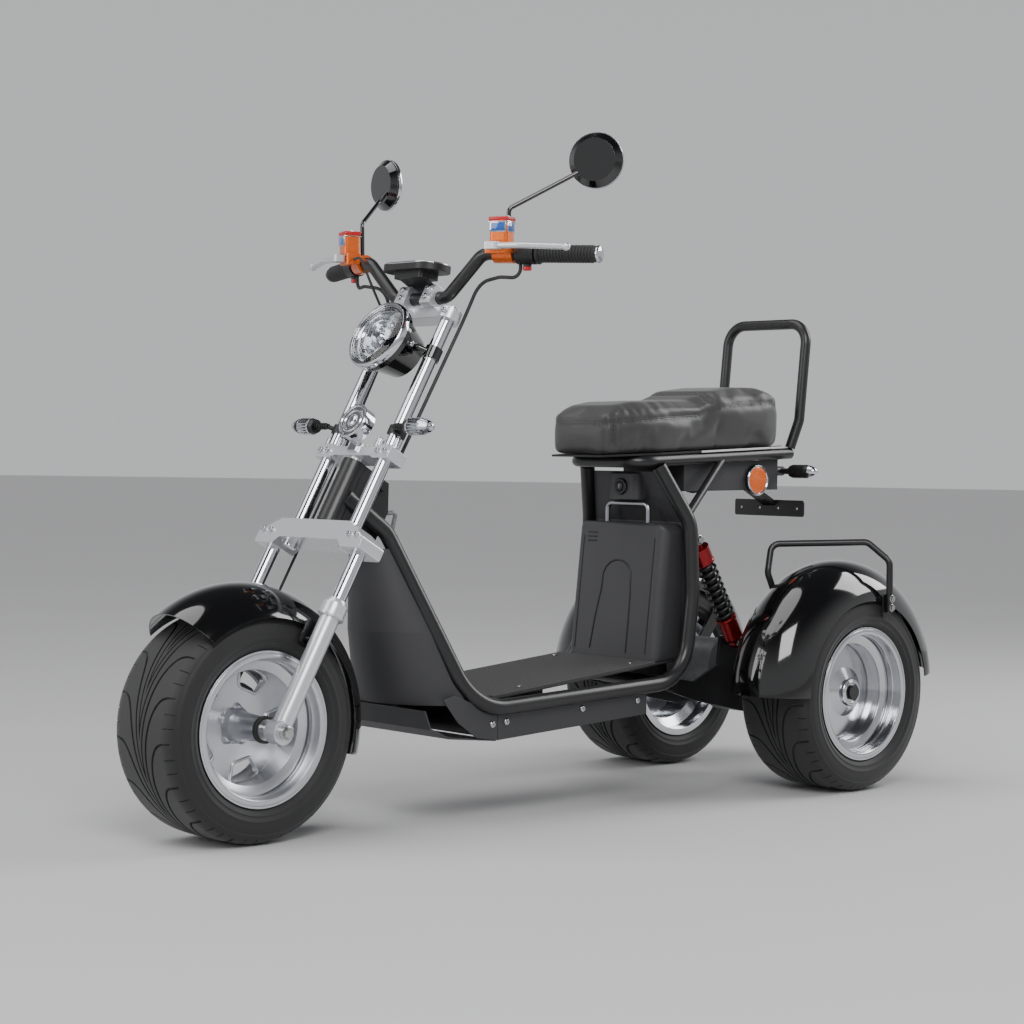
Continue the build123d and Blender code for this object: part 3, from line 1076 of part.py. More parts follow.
# Shock absorbers: a body with an eye at each end, and the spring as a plain sleeve round it
SHOCK_UPPER = spot(*SHOCK_TOP)
SHOCK_LOWER = spot(*SHOCK_FOOT)
SHOCK_WAY = (SHOCK_LOWER - SHOCK_UPPER).normalized()
SHOCK_LENGTH = (SHOCK_LOWER - SHOCK_UPPER).length
SPRING_START = 66.0
SPRING_END = SHOCK_LENGTH - 76.0
SPRING_RADIUS = 26.0
DAMPER_RADIUS = 14.0
with BuildPart() as rear_shocks:
    for eye in (SHOCK_UPPER, SHOCK_LOWER):
        add_rod(eye - Vector(0, EYE_HALF, 0), eye + Vector(0, EYE_HALF, 0), EYE_RADIUS)
    add_rod(SHOCK_UPPER + SHOCK_WAY * 8, SHOCK_LOWER - SHOCK_WAY * 8, DAMPER_RADIUS - 4)
    add_rod(SHOCK_UPPER + SHOCK_WAY * 22, SHOCK_UPPER + SHOCK_WAY * (SPRING_START - SEAT_GAP), SPRING_RADIUS)
    add_rod(SHOCK_UPPER + SHOCK_WAY * (SPRING_END + SEAT_GAP), SHOCK_LOWER - SHOCK_WAY * 18,
            SPRING_RADIUS - 2)
    add_rod(SHOCK_UPPER + SHOCK_WAY * SPRING_START, SHOCK_UPPER + SHOCK_WAY * SPRING_END, DAMPER_RADIUS)
    for eye in (SHOCK_UPPER, SHOCK_LOWER):
        cut_rod(eye - Vector(0, EYE_HALF + 6, 0), eye + Vector(0, EYE_HALF + 6, 0), PIN_RADIUS + SEAT_GAP)
    mirror(about=Plane.XZ)
finish(rear_shocks.part, "rear_shocks")

with BuildPart() as shock_springs:
    add_rod(SHOCK_UPPER + SHOCK_WAY * SPRING_START, SHOCK_UPPER + SHOCK_WAY * SPRING_END, SPRING_RADIUS,
            DAMPER_RADIUS + SEAT_GAP)
    mirror(about=Plane.XZ)
finish(shock_springs.part, "shock_springs")

# Front brake caliper on the right fork leg, open round the disc
CALIPER_SLOT_HALF = 7.5
CALIPER_INNER_SIDE = 82.0
CALIPER_OUTER_SIDE = 116.0
with BuildPart() as front_caliper:
    caliper_outer = SLIDER_INNER_SIDE + 12
    with BuildSketch(fork_side(-CALIPER_INNER_SIDE)) as block:
        with Locations((-44, 76)):
            RectangleRounded(40, 58, 8)
    extrude(block.sketch, amount=CALIPER_OUTER_SIDE - CALIPER_INNER_SIDE)
    with BuildSketch(fork_side(-112)) as arm:
        with Locations((-26, 76)):
            Rectangle(52, 30)
    extrude(arm.sketch, amount=caliper_outer - 112)
    cut_rod(FRONT_AXLE + Vector(0, BRAKE_DISC_SIDE - CALIPER_SLOT_HALF, 0),
            FRONT_AXLE + Vector(0, BRAKE_DISC_SIDE + CALIPER_SLOT_HALF, 0), BRAKE_DISC_RADIUS + 6)
    cut_rod(fork_spot(SLIDER_BOTTOM, 0, -LOWER_TUBE_SIDE), fork_spot(SLIDER_TOP, 0, -LOWER_TUBE_SIDE),
            SLIDER_RADIUS + SEAT_GAP)
finish(front_caliper.part, "front_caliper")

# Cable looms, one each side, from under the switch pods down beside the fork tubes to the middle yoke
LOOM_RADIUS = 4.0
LOOM_BENDS = [20, 40, 60, 80]
with BuildPart() as control_cables:
    exit_spot = along_grip(176)
    sweep_tube([exit_spot - UP * (POD_RADIUS + SEAT_GAP), exit_spot - UP * 52, along_grip(225) - UP * 50,
                spot(1070, 160, 1180), fork_spot(1000, -24, 116),
                fork_spot(MID_YOKE_TOP + SEAT_GAP, -24, 108)],
               LOOM_BENDS, LOOM_RADIUS)
    mirror(about=Plane.XZ)
finish(control_cables.part, "control_cables")

# Brake hose from the right master cylinder, behind the yokes and down beside the right leg to the caliper
HOSE_RADIUS = 3.0
HOSE_BENDS = [26, 60, 100, 140, 12]
HOSE_ROUTE = [(1123, -182, 1250), (1118, -150, 1188)]
HOSE_FORK_ROUTE = [(985, -42, -131), (700, -46, -122), (98, -50, -131)]
with BuildPart() as brake_hose:
    outlet = along_grip(CYLINDER_MIDDLE + 28 + SEAT_GAP) + GRIP_AHEAD * 30 + UP * 10
    inlet = fork_spot(98, -50, -CALIPER_OUTER_SIDE - SEAT_GAP)
    sweep_tube([Vector(outlet.X, -outlet.Y, outlet.Z), *[spot(*point) for point in HOSE_ROUTE],
                *[fork_spot(*point) for point in HOSE_FORK_ROUTE], inlet], HOSE_BENDS, HOSE_RADIUS)
finish(brake_hose.part, "brake_hose")
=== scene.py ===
"""Looks of a fat-tyre electric scooter with one front and two rear wheels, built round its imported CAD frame.

Tables hold millimetres, as a drawing does: ahead of the rear axle, left of the middle and above the ground,
or up the fork, ahead of it and left of the middle. Lengths turn to metres where they reach Blender.
"""

import logging
import math
from collections.abc import Callable, Iterator, Sequence
from contextlib import contextmanager
from dataclasses import dataclass
from enum import Enum

import bmesh
import bpy
from mathutils import Matrix, Vector
from mathutils.bvhtree import BVHTree
from mathutils.kdtree import KDTree


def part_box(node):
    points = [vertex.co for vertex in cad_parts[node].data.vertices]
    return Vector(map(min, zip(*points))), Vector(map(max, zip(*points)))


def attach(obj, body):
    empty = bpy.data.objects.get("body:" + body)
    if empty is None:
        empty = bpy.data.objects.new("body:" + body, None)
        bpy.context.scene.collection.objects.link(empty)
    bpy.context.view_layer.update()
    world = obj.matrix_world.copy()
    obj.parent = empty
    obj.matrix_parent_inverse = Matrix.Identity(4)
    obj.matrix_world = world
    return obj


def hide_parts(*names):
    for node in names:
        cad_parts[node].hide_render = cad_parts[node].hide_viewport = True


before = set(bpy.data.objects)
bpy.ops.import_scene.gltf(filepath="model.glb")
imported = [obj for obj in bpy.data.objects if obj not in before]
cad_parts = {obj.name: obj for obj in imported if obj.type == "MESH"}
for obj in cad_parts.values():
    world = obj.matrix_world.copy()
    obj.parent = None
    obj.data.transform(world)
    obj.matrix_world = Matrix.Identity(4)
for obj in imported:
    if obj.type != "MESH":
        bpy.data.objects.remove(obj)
log = logging.getLogger("scooter")

MM = 0.001
# Points of a new piece that are nearer than this, in metres, are one point
WELD = 1e-6
# A tyre's columns past the tread count as this share of its half width: on the side wall and on the bead
WALL_SHARE, BEAD_SHARE = 1.1, 2.0
Pair = tuple[float, float]
Place = tuple[float, float, float]
Outline = Sequence[Pair]
Line = tuple[Vector, Vector]
Object = bpy.types.Object
Socket = bpy.types.NodeSocket


@dataclass(frozen=True)
class Layout:
    """Where the vehicle's main lines lie, in millimetres and degrees, as its construction has them."""

    rear_axle_x: float = -754.817
    wheelbase: float = 1590.0
    axle_height: float = 238.5
    rear_side: float = 303.0
    fork_rake: float = 29.5
    leg_side: float = 146.0

    def spot(self, ahead: float, left: float, up: float) -> Vector:
        """A point ahead of the rear axle, left of the middle and above the ground, in metres.

        Args:
            ahead: Millimetres ahead of the rear axle.
            left: Millimetres left of the middle.
            up: Millimetres above the ground.

        Returns:
            The point in the row's frame.
        """
        return Vector((self.rear_axle_x + ahead, left, up)) * MM

    def up_fork(self) -> Vector:
        """The unit way up the fork."""
        turn = math.radians(self.fork_rake)
        return Vector((-math.sin(turn), 0, math.cos(turn)))

    def ahead_fork(self) -> Vector:
        """The unit way square to the fork, ahead."""
        turn = math.radians(self.fork_rake)
        return Vector((math.cos(turn), 0, math.sin(turn)))

    def fork(self, up: float, ahead: float = 0.0, left: float = 0.0) -> Vector:
        """A point counted up the fork and ahead of it from the front axle, in metres.

        Args:
            up: Millimetres up the fork.
            ahead: Millimetres ahead of the fork's middle line.
            left: Millimetres left of the middle.

        Returns:
            The point in the row's frame.
        """
        axle = self.spot(self.wheelbase, left, self.axle_height)
        return axle + (self.up_fork() * up + self.ahead_fork() * ahead) * MM

    def hub(self, wheel: str) -> Vector:
        """The middle of a wheel, in metres.

        Args:
            wheel: The wheel's body name.

        Returns:
            The point in the row's frame.
        """
        hubs = {
            "front_wheel": (self.wheelbase, 0.0),
            "rear_left_wheel": (0.0, self.rear_side),
            "rear_right_wheel": (0.0, -self.rear_side),
        }
        ahead, left = hubs[wheel]
        return self.spot(ahead, left, self.axle_height)


LAYOUT = Layout()
AHEAD = Vector((1, 0, 0))
LEFT = Vector((0, 1, 0))
UP = Vector((0, 0, 1))
ORIGIN = Vector((0, 0, 0))


# Finishes


def to_linear(colour: str) -> tuple[float, float, float, float]:
    """Turns an sRGB hex colour to linear light.

    Args:
        colour: Six hex digits.

    Returns:
        Red, green, blue and alpha.
    """
    steps = [int(colour[i : i + 2], 16) / 255 for i in (0, 2, 4)]
    light = [s / 12.92 if s <= 0.04045 else ((s + 0.055) / 1.055) ** 2.4 for s in steps]
    return (light[0], light[1], light[2], 1.0)


def per_metre(size_mm: float) -> float:
    """The texture scale that makes one feature of a pattern this many millimetres wide."""
    return 1000.0 / size_mm


def add_node(
    tree: bpy.types.NodeTree, kind: str, inputs: dict[str | int, object] | None = None, **settings: object
) -> bpy.types.Node:
    """Adds one node with its settings, values and links.

    Args:
        tree: The node tree it goes in.
        kind: The node's type.
        inputs: A value for each input socket, or the output socket that feeds it.
        **settings: The node's own properties.

    Returns:
        The node.
    """
    node = tree.nodes.new(kind)
    for key, value in settings.items():
        setattr(node, key, value)
    for key, value in (inputs or {}).items():
        if isinstance(value, Socket):
            tree.links.new(value, node.inputs[key])
        else:
            node.inputs[key].default_value = value
    return node


class Grain(Enum):
    """The relief that a surface shows when a light rakes across it."""

    SMOOTH = "smooth"
    PEBBLED = "pebbled"
    GRITTY = "gritty"
    TURNED = "turned"
    BRUSHED = "brushed"
    PEELED = "peeled"


@dataclass(frozen=True)
class Finish:
    """One real material with its surface, built once as a node material.

    Attributes:
        name: The material's common name and how its surface was made.
        colour: Its colour, sRGB hex.
        tint: The colour it drifts to in patches, sRGB hex.
        patch_mm: How wide those patches are.
        roughness: From 0, a mirror, to 1, chalk.
        drift: How far the roughness wanders either way.
        metallic: 1 for a bare metal.
        grain: The relief of the surface.
        grain_mm: How wide one feature of the relief is.
        depth_mm: How deep the relief is.
        coat: How much clear lacquer lies on it.
        ior: The refractive index of what isn't a metal.
        clear: How much light goes through, from 0 to 1.
        round_mm: The radius that its hard edges catch the light as.
        worn: How much brighter its edges have rubbed, from 0 to 1.
        sheen: The soft bloom of leather or rubber.
        turned_at: The middle of a turned piece, in metres, for turned grain about the left-right axis.
    """

    name: str
    colour: str
    tint: str
    roughness: float
    patch_mm: float = 60.0
    drift: float = 0.06
    metallic: float = 0.0
    grain: Grain = Grain.SMOOTH
    grain_mm: float = 1.0
    depth_mm: float = 0.1
    coat: float = 0.0
    ior: float = 1.5
    clear: float = 0.0
    round_mm: float = 0.0
    worn: float = 0.0
    sheen: float = 0.0
    turned_at: Place = (0.0, 0.0, 0.0)

    def material(self) -> bpy.types.Material:
        """The node material, made when it is first asked for."""
        found = bpy.data.materials.get(self.name)
        return found if found else self._build()

    def _build(self) -> bpy.types.Material:
        """Builds the node material.

        Returns:
            The new material.
        """
        material = bpy.data.materials.new(self.name)
        material.use_nodes = True
        tree = material.node_tree
        tree.nodes.clear()
        place = add_node(tree, "ShaderNodeTexCoord").outputs["Object"]
        patches = add_node(
            tree, "ShaderNodeTexNoise", {"Vector": place, "Scale": per_metre(self.patch_mm), "Detail": 3.0}
        ).outputs["Fac"]
        colour = add_node(
            tree,
            "ShaderNodeMix",
            {"Factor": patches, 6: to_linear(self.colour), 7: to_linear(self.tint)},
            data_type="RGBA",
        ).outputs[2]
        rough = add_node(
            tree,
            "ShaderNodeMapRange",
            {"Value": patches, "To Min": self.roughness - self.drift, "To Max": self.roughness + self.drift},
        ).outputs["Result"]
        inputs: dict[str | int, object] = {
            "Metallic": self.metallic,
            "Roughness": rough,
            "Coat Weight": self.coat,
            "Coat Roughness": 0.03,
            "Sheen Weight": self.sheen,
            "Transmission Weight": self.clear,
        }
        if not self.metallic:
            inputs["IOR"] = self.ior
        rounded = self._rounded(tree)
        inputs["Base Color"] = self._wear(tree, colour, rounded) if self.worn else colour
        inputs["Normal"] = self._relief(tree, place, rounded)
        shader = add_node(tree, "ShaderNodeBsdfPrincipled", inputs)
        add_node(tree, "ShaderNodeOutputMaterial", {"Surface": shader.outputs["BSDF"]})
        return material

    def _rounded(self, tree: bpy.types.NodeTree) -> Socket:
        """The surface direction with its hard edges rounded.

        Args:
            tree: The material's node tree.

        Returns:
            The socket that gives it.
        """
        if self.round_mm:
            inputs = {"Radius": self.round_mm * MM}
            return add_node(tree, "ShaderNodeBevel", inputs, samples=6).outputs["Normal"]
        return add_node(tree, "ShaderNodeNewGeometry").outputs["Normal"]

    def _wear(self, tree: bpy.types.NodeTree, colour: Socket, rounded: Socket) -> Socket:
        """Lightens the colour where an edge turns, as handling rubs it.

        Args:
            tree: The material's node tree.
            colour: The colour before wear.
            rounded: The rounded surface direction.

        Returns:
            The socket with the worn colour.
        """
        flat = add_node(tree, "ShaderNodeNewGeometry").outputs["Normal"]
        agree = add_node(
            tree, "ShaderNodeVectorMath", {0: flat, 1: rounded}, operation="DOT_PRODUCT"
        ).outputs["Value"]
        edge = add_node(
            tree,
            "ShaderNodeMapRange",
            {"Value": agree, "From Min": 0.995, "From Max": 0.86, "To Min": 0.0, "To Max": self.worn},
        ).outputs["Result"]
        return add_node(
            tree, "ShaderNodeMix", {"Factor": edge, 6: colour, 7: to_linear("c9c9cc")}, data_type="RGBA"
        ).outputs[2]

    def _relief(self, tree: bpy.types.NodeTree, place: Socket, rounded: Socket) -> Socket:
        """The surface direction with the grain's relief on it.

        Args:
            tree: The material's node tree.
            place: The object coordinates.
            rounded: The direction without grain.

        Returns:
            The socket that gives it.
        """
        if self.grain is Grain.SMOOTH:
            return rounded
        scale = per_metre(self.grain_mm)
        if self.grain is Grain.PEBBLED:
            height = add_node(
                tree, "ShaderNodeTexVoronoi", {"Vector": place, "Scale": scale, "Randomness": 0.9},
                feature="SMOOTH_F1",
            ).outputs["Distance"]
        elif self.grain is Grain.TURNED:
            height = self._rings(tree, place, scale)
        elif self.grain is Grain.BRUSHED:
            drawn = add_node(
                tree, "ShaderNodeMapping", {"Vector": place, "Scale": (0.03, 1.0, 1.0)}
            ).outputs["Vector"]
            height = add_node(
                tree, "ShaderNodeTexNoise", {"Vector": drawn, "Scale": scale, "Detail": 2.0}
            ).outputs["Fac"]
        else:
            height = add_node(
                tree, "ShaderNodeTexNoise",
                {"Vector": place, "Scale": scale, "Detail": 1.0 if self.grain is Grain.PEELED else 4.0},
            ).outputs["Fac"]
        return add_node(
            tree, "ShaderNodeBump",
            {"Height": height, "Distance": self.depth_mm * MM, "Normal": rounded, "Strength": 1.0},
        ).outputs["Normal"]

    def _rings(self, tree: bpy.types.NodeTree, place: Socket, scale: float) -> Socket:
        """The fine rings that a lathe leaves round a wheel's axis.

        Args:
            tree: The material's node tree.
            place: The object coordinates.
            scale: Rings in each metre of radius.

        Returns:
            The socket with their height.
        """
        x, y, z = self.turned_at
        centred = add_node(
            tree, "ShaderNodeMapping", {"Vector": place, "Location": (-x, -y, -z)}
        ).outputs["Vector"]
        flat = add_node(
            tree, "ShaderNodeVectorMath", {0: centred, 1: (1.0, 0.0, 1.0)}, operation="MULTIPLY"
        ).outputs["Vector"]
        radius = add_node(tree, "ShaderNodeVectorMath", {0: flat}, operation="LENGTH").outputs["Value"]
        return add_node(
            tree, "ShaderNodeTexNoise", {"W": radius, "Scale": scale, "Detail": 3.0}, noise_dimensions="1D"
        ).outputs["Fac"]


def turned_place(wheel: str) -> Place:
    """A wheel's middle as plain numbers, for the finish turned about it."""
    return tuple(LAYOUT.hub(wheel))


# Vulcanised rubber, moulded: a dull black in faint greyer patches, with the mould's fine grit
TYRE_RUBBER = Finish(
    "vulcanised_rubber_moulded", "141415", "1e1e1f", 0.62, patch_mm=45, drift=0.08, grain=Grain.GRITTY,
    grain_mm=1.6, depth_mm=0.05, sheen=0.15,
)
# Cast aluminium, machined and lacquered: pale silver with fine rings round the hub and a soft shine
FRONT_RIM_ALLOY = Finish(
    "cast_aluminium_machined_front", "dadcdf", "cbcdd1", 0.30, metallic=1.0, drift=0.05, grain=Grain.TURNED,
    grain_mm=1.4, depth_mm=0.02, round_mm=1.6, turned_at=turned_place("front_wheel"),
)
# Spun aluminium, polished: nearly a mirror, drawn out into rings by the spinning tool
REAR_RIM_ALLOY = Finish(
    "spun_aluminium_polished_rear", "d2d3d6", "c3c5c9", 0.17, metallic=1.0, drift=0.04, grain=Grain.TURNED,
    grain_mm=1.8, depth_mm=0.012, round_mm=1.2, turned_at=turned_place("rear_left_wheel"),
)
# Chromium plate, buffed: a clean mirror with a slightly blue grey in it
CHROME = Finish("chromium_plate_buffed", "dcdee2", "d2d5da", 0.06, metallic=1.0, drift=0.02, round_mm=0.8)
# Silver enamel, baked on castings: bright, with a soft gloss and a faint waviness
SILVER_ENAMEL = Finish(
    "silver_enamel_baked", "dddfe2", "d0d2d6", 0.30, patch_mm=35, drift=0.05, metallic=0.6,
    grain=Grain.PEELED, grain_mm=6, depth_mm=0.03, coat=0.35, round_mm=2.0,
)
# Steel tube under satin black powder coat: dark, with broad soft highlights and fine orange peel
POWDER_BLACK = Finish(
    "powder_coat_satin_black", "161617", "1e1e20", 0.36, patch_mm=90, drift=0.04, grain=Grain.PEELED,
    grain_mm=2.2, depth_mm=0.03, coat=0.15, round_mm=1.2, worn=0.05,
)
# Gloss black lacquer on pressed steel: deep black that mirrors the room
GLOSS_BLACK = Finish(
    "gloss_black_lacquer", "060607", "0a0a0b", 0.10, patch_mm=120, drift=0.02, coat=1.0, grain=Grain.PEELED,
    grain_mm=14, depth_mm=0.02, round_mm=1.2,
)
# Moulded rubber of the grips: matt black with a fine tooth
GRIP_RUBBER = Finish(
    "moulded_rubber_grip", "19191a", "202021", 0.68, grain=Grain.GRITTY, grain_mm=1.2, depth_mm=0.08,
    sheen=0.1,
)
# Ribbed rubber sheet: dark grey and dull, in faint paler patches
MAT_RUBBER = Finish(
    "ribbed_rubber_sheet", "2c2c2d", "3a3a3b", 0.66, patch_mm=70, drift=0.08, grain=Grain.GRITTY,
    grain_mm=1.0, depth_mm=0.07, sheen=0.1,
)
# Polypropylene with a moulded leather grain: dark grey and matt, with tiny even pits
MOULDED_GREY = Finish(
    "moulded_polypropylene_grey", "323234", "3b3b3d", 0.52, patch_mm=110, drift=0.05, grain=Grain.GRITTY,
    grain_mm=1.3, depth_mm=0.09, round_mm=1.8, worn=0.06,
)
# ABS, moulded black: a low sheen and an eggshell surface
BLACK_ABS = Finish(
    "abs_moulded_black", "121213", "19191a", 0.42, grain=Grain.GRITTY, grain_mm=0.9, depth_mm=0.04,
    round_mm=1.0,
)
# Orange anodised aluminium: a saturated metallic orange with a satin gloss
ORANGE_ANODISED = Finish(
    "anodised_aluminium_orange", "e2560c", "f07a1e", 0.28, metallic=0.55, drift=0.05, patch_mm=22, coat=0.5,
    round_mm=1.4,
)
# Amber acrylic lens: warm orange and glassy
AMBER_LENS = Finish("acrylic_lens_amber", "e05a06", "ec6e10", 0.2, drift=0.03, coat=0.6, patch_mm=12)
# Red acrylic lens: deep red and glassy
RED_LENS = Finish("acrylic_lens_red", "8c0f12", "a3181a", 0.12, drift=0.03, coat=0.8, patch_mm=20)
# Clear acrylic, polished: nearly colourless, with sharp highlights
CLEAR_LENS = Finish("acrylic_lens_clear", "f4f6f8", "eceff2", 0.04, drift=0.01, clear=1.0, ior=1.49)
# Grey leatherette with a pebbled grain: half matt, in faint paler patches
SEAT_LEATHER = Finish(
    "leatherette_pebbled_grey", "303031", "3c3c3c", 0.44, patch_mm=120, drift=0.07, grain=Grain.PEBBLED,
    grain_mm=2.6, depth_mm=0.16, sheen=0.2,
)
# Polyester thread, bonded: dark and slightly shiny
SEAT_THREAD = Finish("polyester_thread_bonded", "242425", "2f2f30", 0.5, sheen=0.2)
# Stainless steel, brushed: fine straight scratches and a soft bright streak
BRUSHED_STEEL = Finish(
    "stainless_steel_brushed", "a9abae", "9b9da1", 0.30, metallic=1.0, grain=Grain.BRUSHED, grain_mm=0.8,
    depth_mm=0.02, round_mm=0.8,
)
# Zinc-plated steel of bolts and screws: pale, faintly yellow-grey, half bright
ZINC_STEEL = Finish("zinc_plated_steel", "c3c4c2", "b0b1b0", 0.24, metallic=1.0, drift=0.06, patch_mm=8)
# Red anodised aluminium: dark metallic red with a satin gloss
RED_ANODISED = Finish(
    "anodised_aluminium_red", "7d0d14", "9a141c", 0.26, metallic=0.8, drift=0.05, patch_mm=18, coat=0.3,
    round_mm=1.2,
)
# Cast aluminium left raw: mid grey and rough, with the sand mould's grain
RAW_CASTING = Finish(
    "cast_aluminium_raw", "7f8082", "6c6d6f", 0.52, metallic=0.8, drift=0.1, patch_mm=20, grain=Grain.GRITTY,
    grain_mm=1.6, depth_mm=0.12, round_mm=2.2,
)
# Silvered glass: a clean mirror behind a flat front
MIRROR_GLASS = Finish("silvered_glass", "e4e8ec", "dfe4e8", 0.03, metallic=1.0, drift=0.01)
# Back-painted glass of the display: black and glossy, with nothing lit on it
DISPLAY_GLASS = Finish("back_painted_glass", "08090b", "0d0e11", 0.08, drift=0.02, coat=1.0)
# Woven polyester sleeve round a cable loom: black with pale flecks in the braid
BRAIDED_SLEEVE = Finish(
    "braided_polyester_sleeve", "0c0c0d", "3e3e40", 0.6, patch_mm=9, drift=0.08, grain=Grain.GRITTY,
    grain_mm=1.8, depth_mm=0.2,
)
# White ABS strip, moulded: clean and slightly glossy
WHITE_ABS = Finish("abs_moulded_white", "d8d8d6", "cfcfcd", 0.4, drift=0.04)
# Smoked polycarbonate: grey, half clear and glossy
SMOKED_CLEAR = Finish("polycarbonate_smoked", "8f9296", "9da0a4", 0.18, drift=0.03, clear=0.55, ior=1.58)
# Red plastic of buttons and tank lids: bright and slightly glossy
RED_BUTTON = Finish("abs_moulded_red", "b5141a", "c4222a", 0.3, drift=0.03)
# Blue sight glass of a brake fluid tank: small, blue and glossy
SIGHT_GLASS = Finish("acrylic_sight_blue", "1d4fa0", "2b63ba", 0.1, drift=0.03, coat=0.8)


# Hand tools: each works on one object with Blender's own operators


def deselect() -> None:
    """Leaves nothing selected and Blender in object mode."""
    if bpy.context.object and bpy.context.object.mode != "OBJECT":
        bpy.ops.object.mode_set(mode="OBJECT")
    bpy.ops.object.select_all(action="DESELECT")


def take(obj: Object) -> Object:
    """Makes one object the only selected one, and active.

    Args:
        obj: The object to take up.

    Returns:
        The same object.
    """
    deselect()
    obj.select_set(True)
    bpy.context.view_layer.objects.active = obj
    return obj


@contextmanager
def editing(obj: Object) -> Iterator[bmesh.types.BMesh]:
    """Holds one object in edit mode.

    Args:
        obj: The object to edit.

    Yields:
        Its edit mesh, for choosing faces and edges.
    """
    take(obj)
    bpy.ops.object.mode_set(mode="EDIT")
    yield bmesh.from_edit_mesh(obj.data)
    bpy.ops.object.mode_set(mode="OBJECT")


def pick(obj: Object, wanted: Callable[[Vector, Vector], bool]) -> None:
    """Selects, in edit mode, the faces that pass a test.

    Args:
        obj: The object being edited.
        wanted: Given a face's middle and normal, says whether to select it.
    """
    mesh = bmesh.from_edit_mesh(obj.data)
    bpy.ops.mesh.select_mode(type="FACE")
    bpy.ops.mesh.select_all(action="DESELECT")
    for face in mesh.faces:
        face.select_set(wanted(face.calc_center_median(), face.normal))
    bmesh.update_edit_mesh(obj.data)


def name_piece(obj: Object, name: str) -> Object:
    """Names an object and its mesh.

    Args:
        obj: The object.
        name: Its new name.

    Returns:
        The same object.
    """
    obj.name = name
    obj.data.name = name
    return obj


def apply_modifier(obj: Object, kind: str, **settings: object) -> None:
    """Runs one modifier on a piece and keeps what it makes.

    Args:
        obj: The piece.
        kind: The modifier's type.
        **settings: The modifier's own properties.
    """
    take(obj)
    modifier = obj.modifiers.new(kind.lower(), kind)
    for key, value in settings.items():
        setattr(modifier, key, value)
    bpy.ops.object.modifier_apply(modifier=modifier.name)


def face_outwards(gap: float = 0.0) -> None:
    """Turns the faces of the piece in edit mode outwards.

    Args:
        gap: Points nearer to each other than this, in metres, are joined first.
    """
    bpy.ops.mesh.select_all(action="SELECT")
    if gap:
        bpy.ops.mesh.remove_doubles(threshold=gap)
    bpy.ops.mesh.normals_make_consistent(inside=False)


def add_cylinder(name: str, start: Vector, end: Vector, radius: float, sides: int = 32) -> Object:
    """Adds a cylinder between two points.

    Args:
        name: The piece's name.
        start: The middle of one end, in metres.
        end: The middle of the other end, in metres.
        radius: Its radius in millimetres.
        sides: How many flats it has.

    Returns:
        The cylinder, with its place in its mesh.
    """
    along = end - start
    deselect()
    bpy.ops.mesh.primitive_cylinder_add(
        vertices=sides, radius=radius * MM, depth=along.length, location=(start + end) / 2,
        rotation=along.to_track_quat("Z", "Y").to_euler(),
    )
    bpy.ops.object.transform_apply(location=True, rotation=True, scale=True)
    return name_piece(bpy.context.object, name)


def turn_piece(
    name: str, outline: Outline, centre: Vector, axis: Vector, sides: int = 64, ring: bool = False
) -> Object:
    """Turns a piece as on a lathe: a circle extruded and resized through an outline.

    Args:
        name: The piece's name.
        outline: Points (along the axis, radius) in millimetres; a radius of 0 closes the end.
        centre: Where the axis starts, in metres.
        axis: The unit way along the axis.
        sides: How many flats it has.
        ring: Whether the outline goes on round to its first point, leaving a hole.

    Returns:
        The piece, with its place in its mesh.
    """
    points = list(outline) + ([outline[0]] if ring else [])
    along, radius = points[0]
    deselect()
    bpy.ops.mesh.primitive_circle_add(
        vertices=sides, radius=radius * MM, fill_type="NOTHING" if ring else "NGON",
        location=centre + axis * along * MM, rotation=axis.to_track_quat("Z", "Y").to_euler(),
    )
    bpy.ops.object.transform_apply(location=True, rotation=True, scale=True)
    obj = name_piece(bpy.context.object, name)
    with editing(obj):
        bpy.ops.mesh.select_mode(type="VERT")
        bpy.ops.mesh.select_all(action="SELECT")
        for (was_along, was_radius), (along, radius) in zip(points, points[1:]):
            bpy.ops.mesh.extrude_region_move(
                TRANSFORM_OT_translate={"value": axis * (along - was_along) * MM, "orient_type": "GLOBAL"}
            )
            if radius == 0:
                bpy.ops.mesh.merge(type="COLLAPSE")
            elif radius != was_radius:
                bpy.ops.transform.resize(
                    value=(radius / was_radius,) * 3, center_override=centre + axis * along * MM
                )
        face_outwards(WELD)
    return obj


@dataclass(frozen=True)
class Turned:
    """A turned shape: its outline, how many flats it has, and whether it is a ring with a hole."""

    outline: tuple[Pair, ...]
    sides: int
    ring: bool = False

    def make(self, name: str, centre: Vector, axis: Vector) -> Object:
        """Turns the piece about an axis."""
        return turn_piece(name, self.outline, centre, axis, self.sides, self.ring)


def add_plate(
    name: str, outline: Outline, corner: Vector, right: Vector, up: Vector, thick: float
) -> Object:
    """Cuts a plate to an outline: a circle whose points are moved to the outline, then extruded.

    Args:
        name: The piece's name.
        outline: Points (along right, along up) in millimetres, anticlockwise seen from its front.
        corner: Where the outline is measured from, in metres.
        right: The unit way of the first measure.
        up: The unit way of the second measure.
        thick: How far it stands out to the front, in millimetres.

    Returns:
        The plate, with its place in its mesh.
    """
    deselect()
    bpy.ops.mesh.primitive_circle_add(vertices=len(outline), radius=0.01, fill_type="NGON")
    obj = name_piece(bpy.context.object, name)
    for vertex, (u, v) in zip(obj.data.vertices, outline):
        vertex.co = corner + (right * u + up * v) * MM
    with editing(obj):
        bpy.ops.mesh.select_all(action="SELECT")
        bpy.ops.mesh.extrude_region_move(
            TRANSFORM_OT_translate={"value": right.cross(up) * thick * MM, "orient_type": "GLOBAL"}
        )
        face_outwards()
    return obj


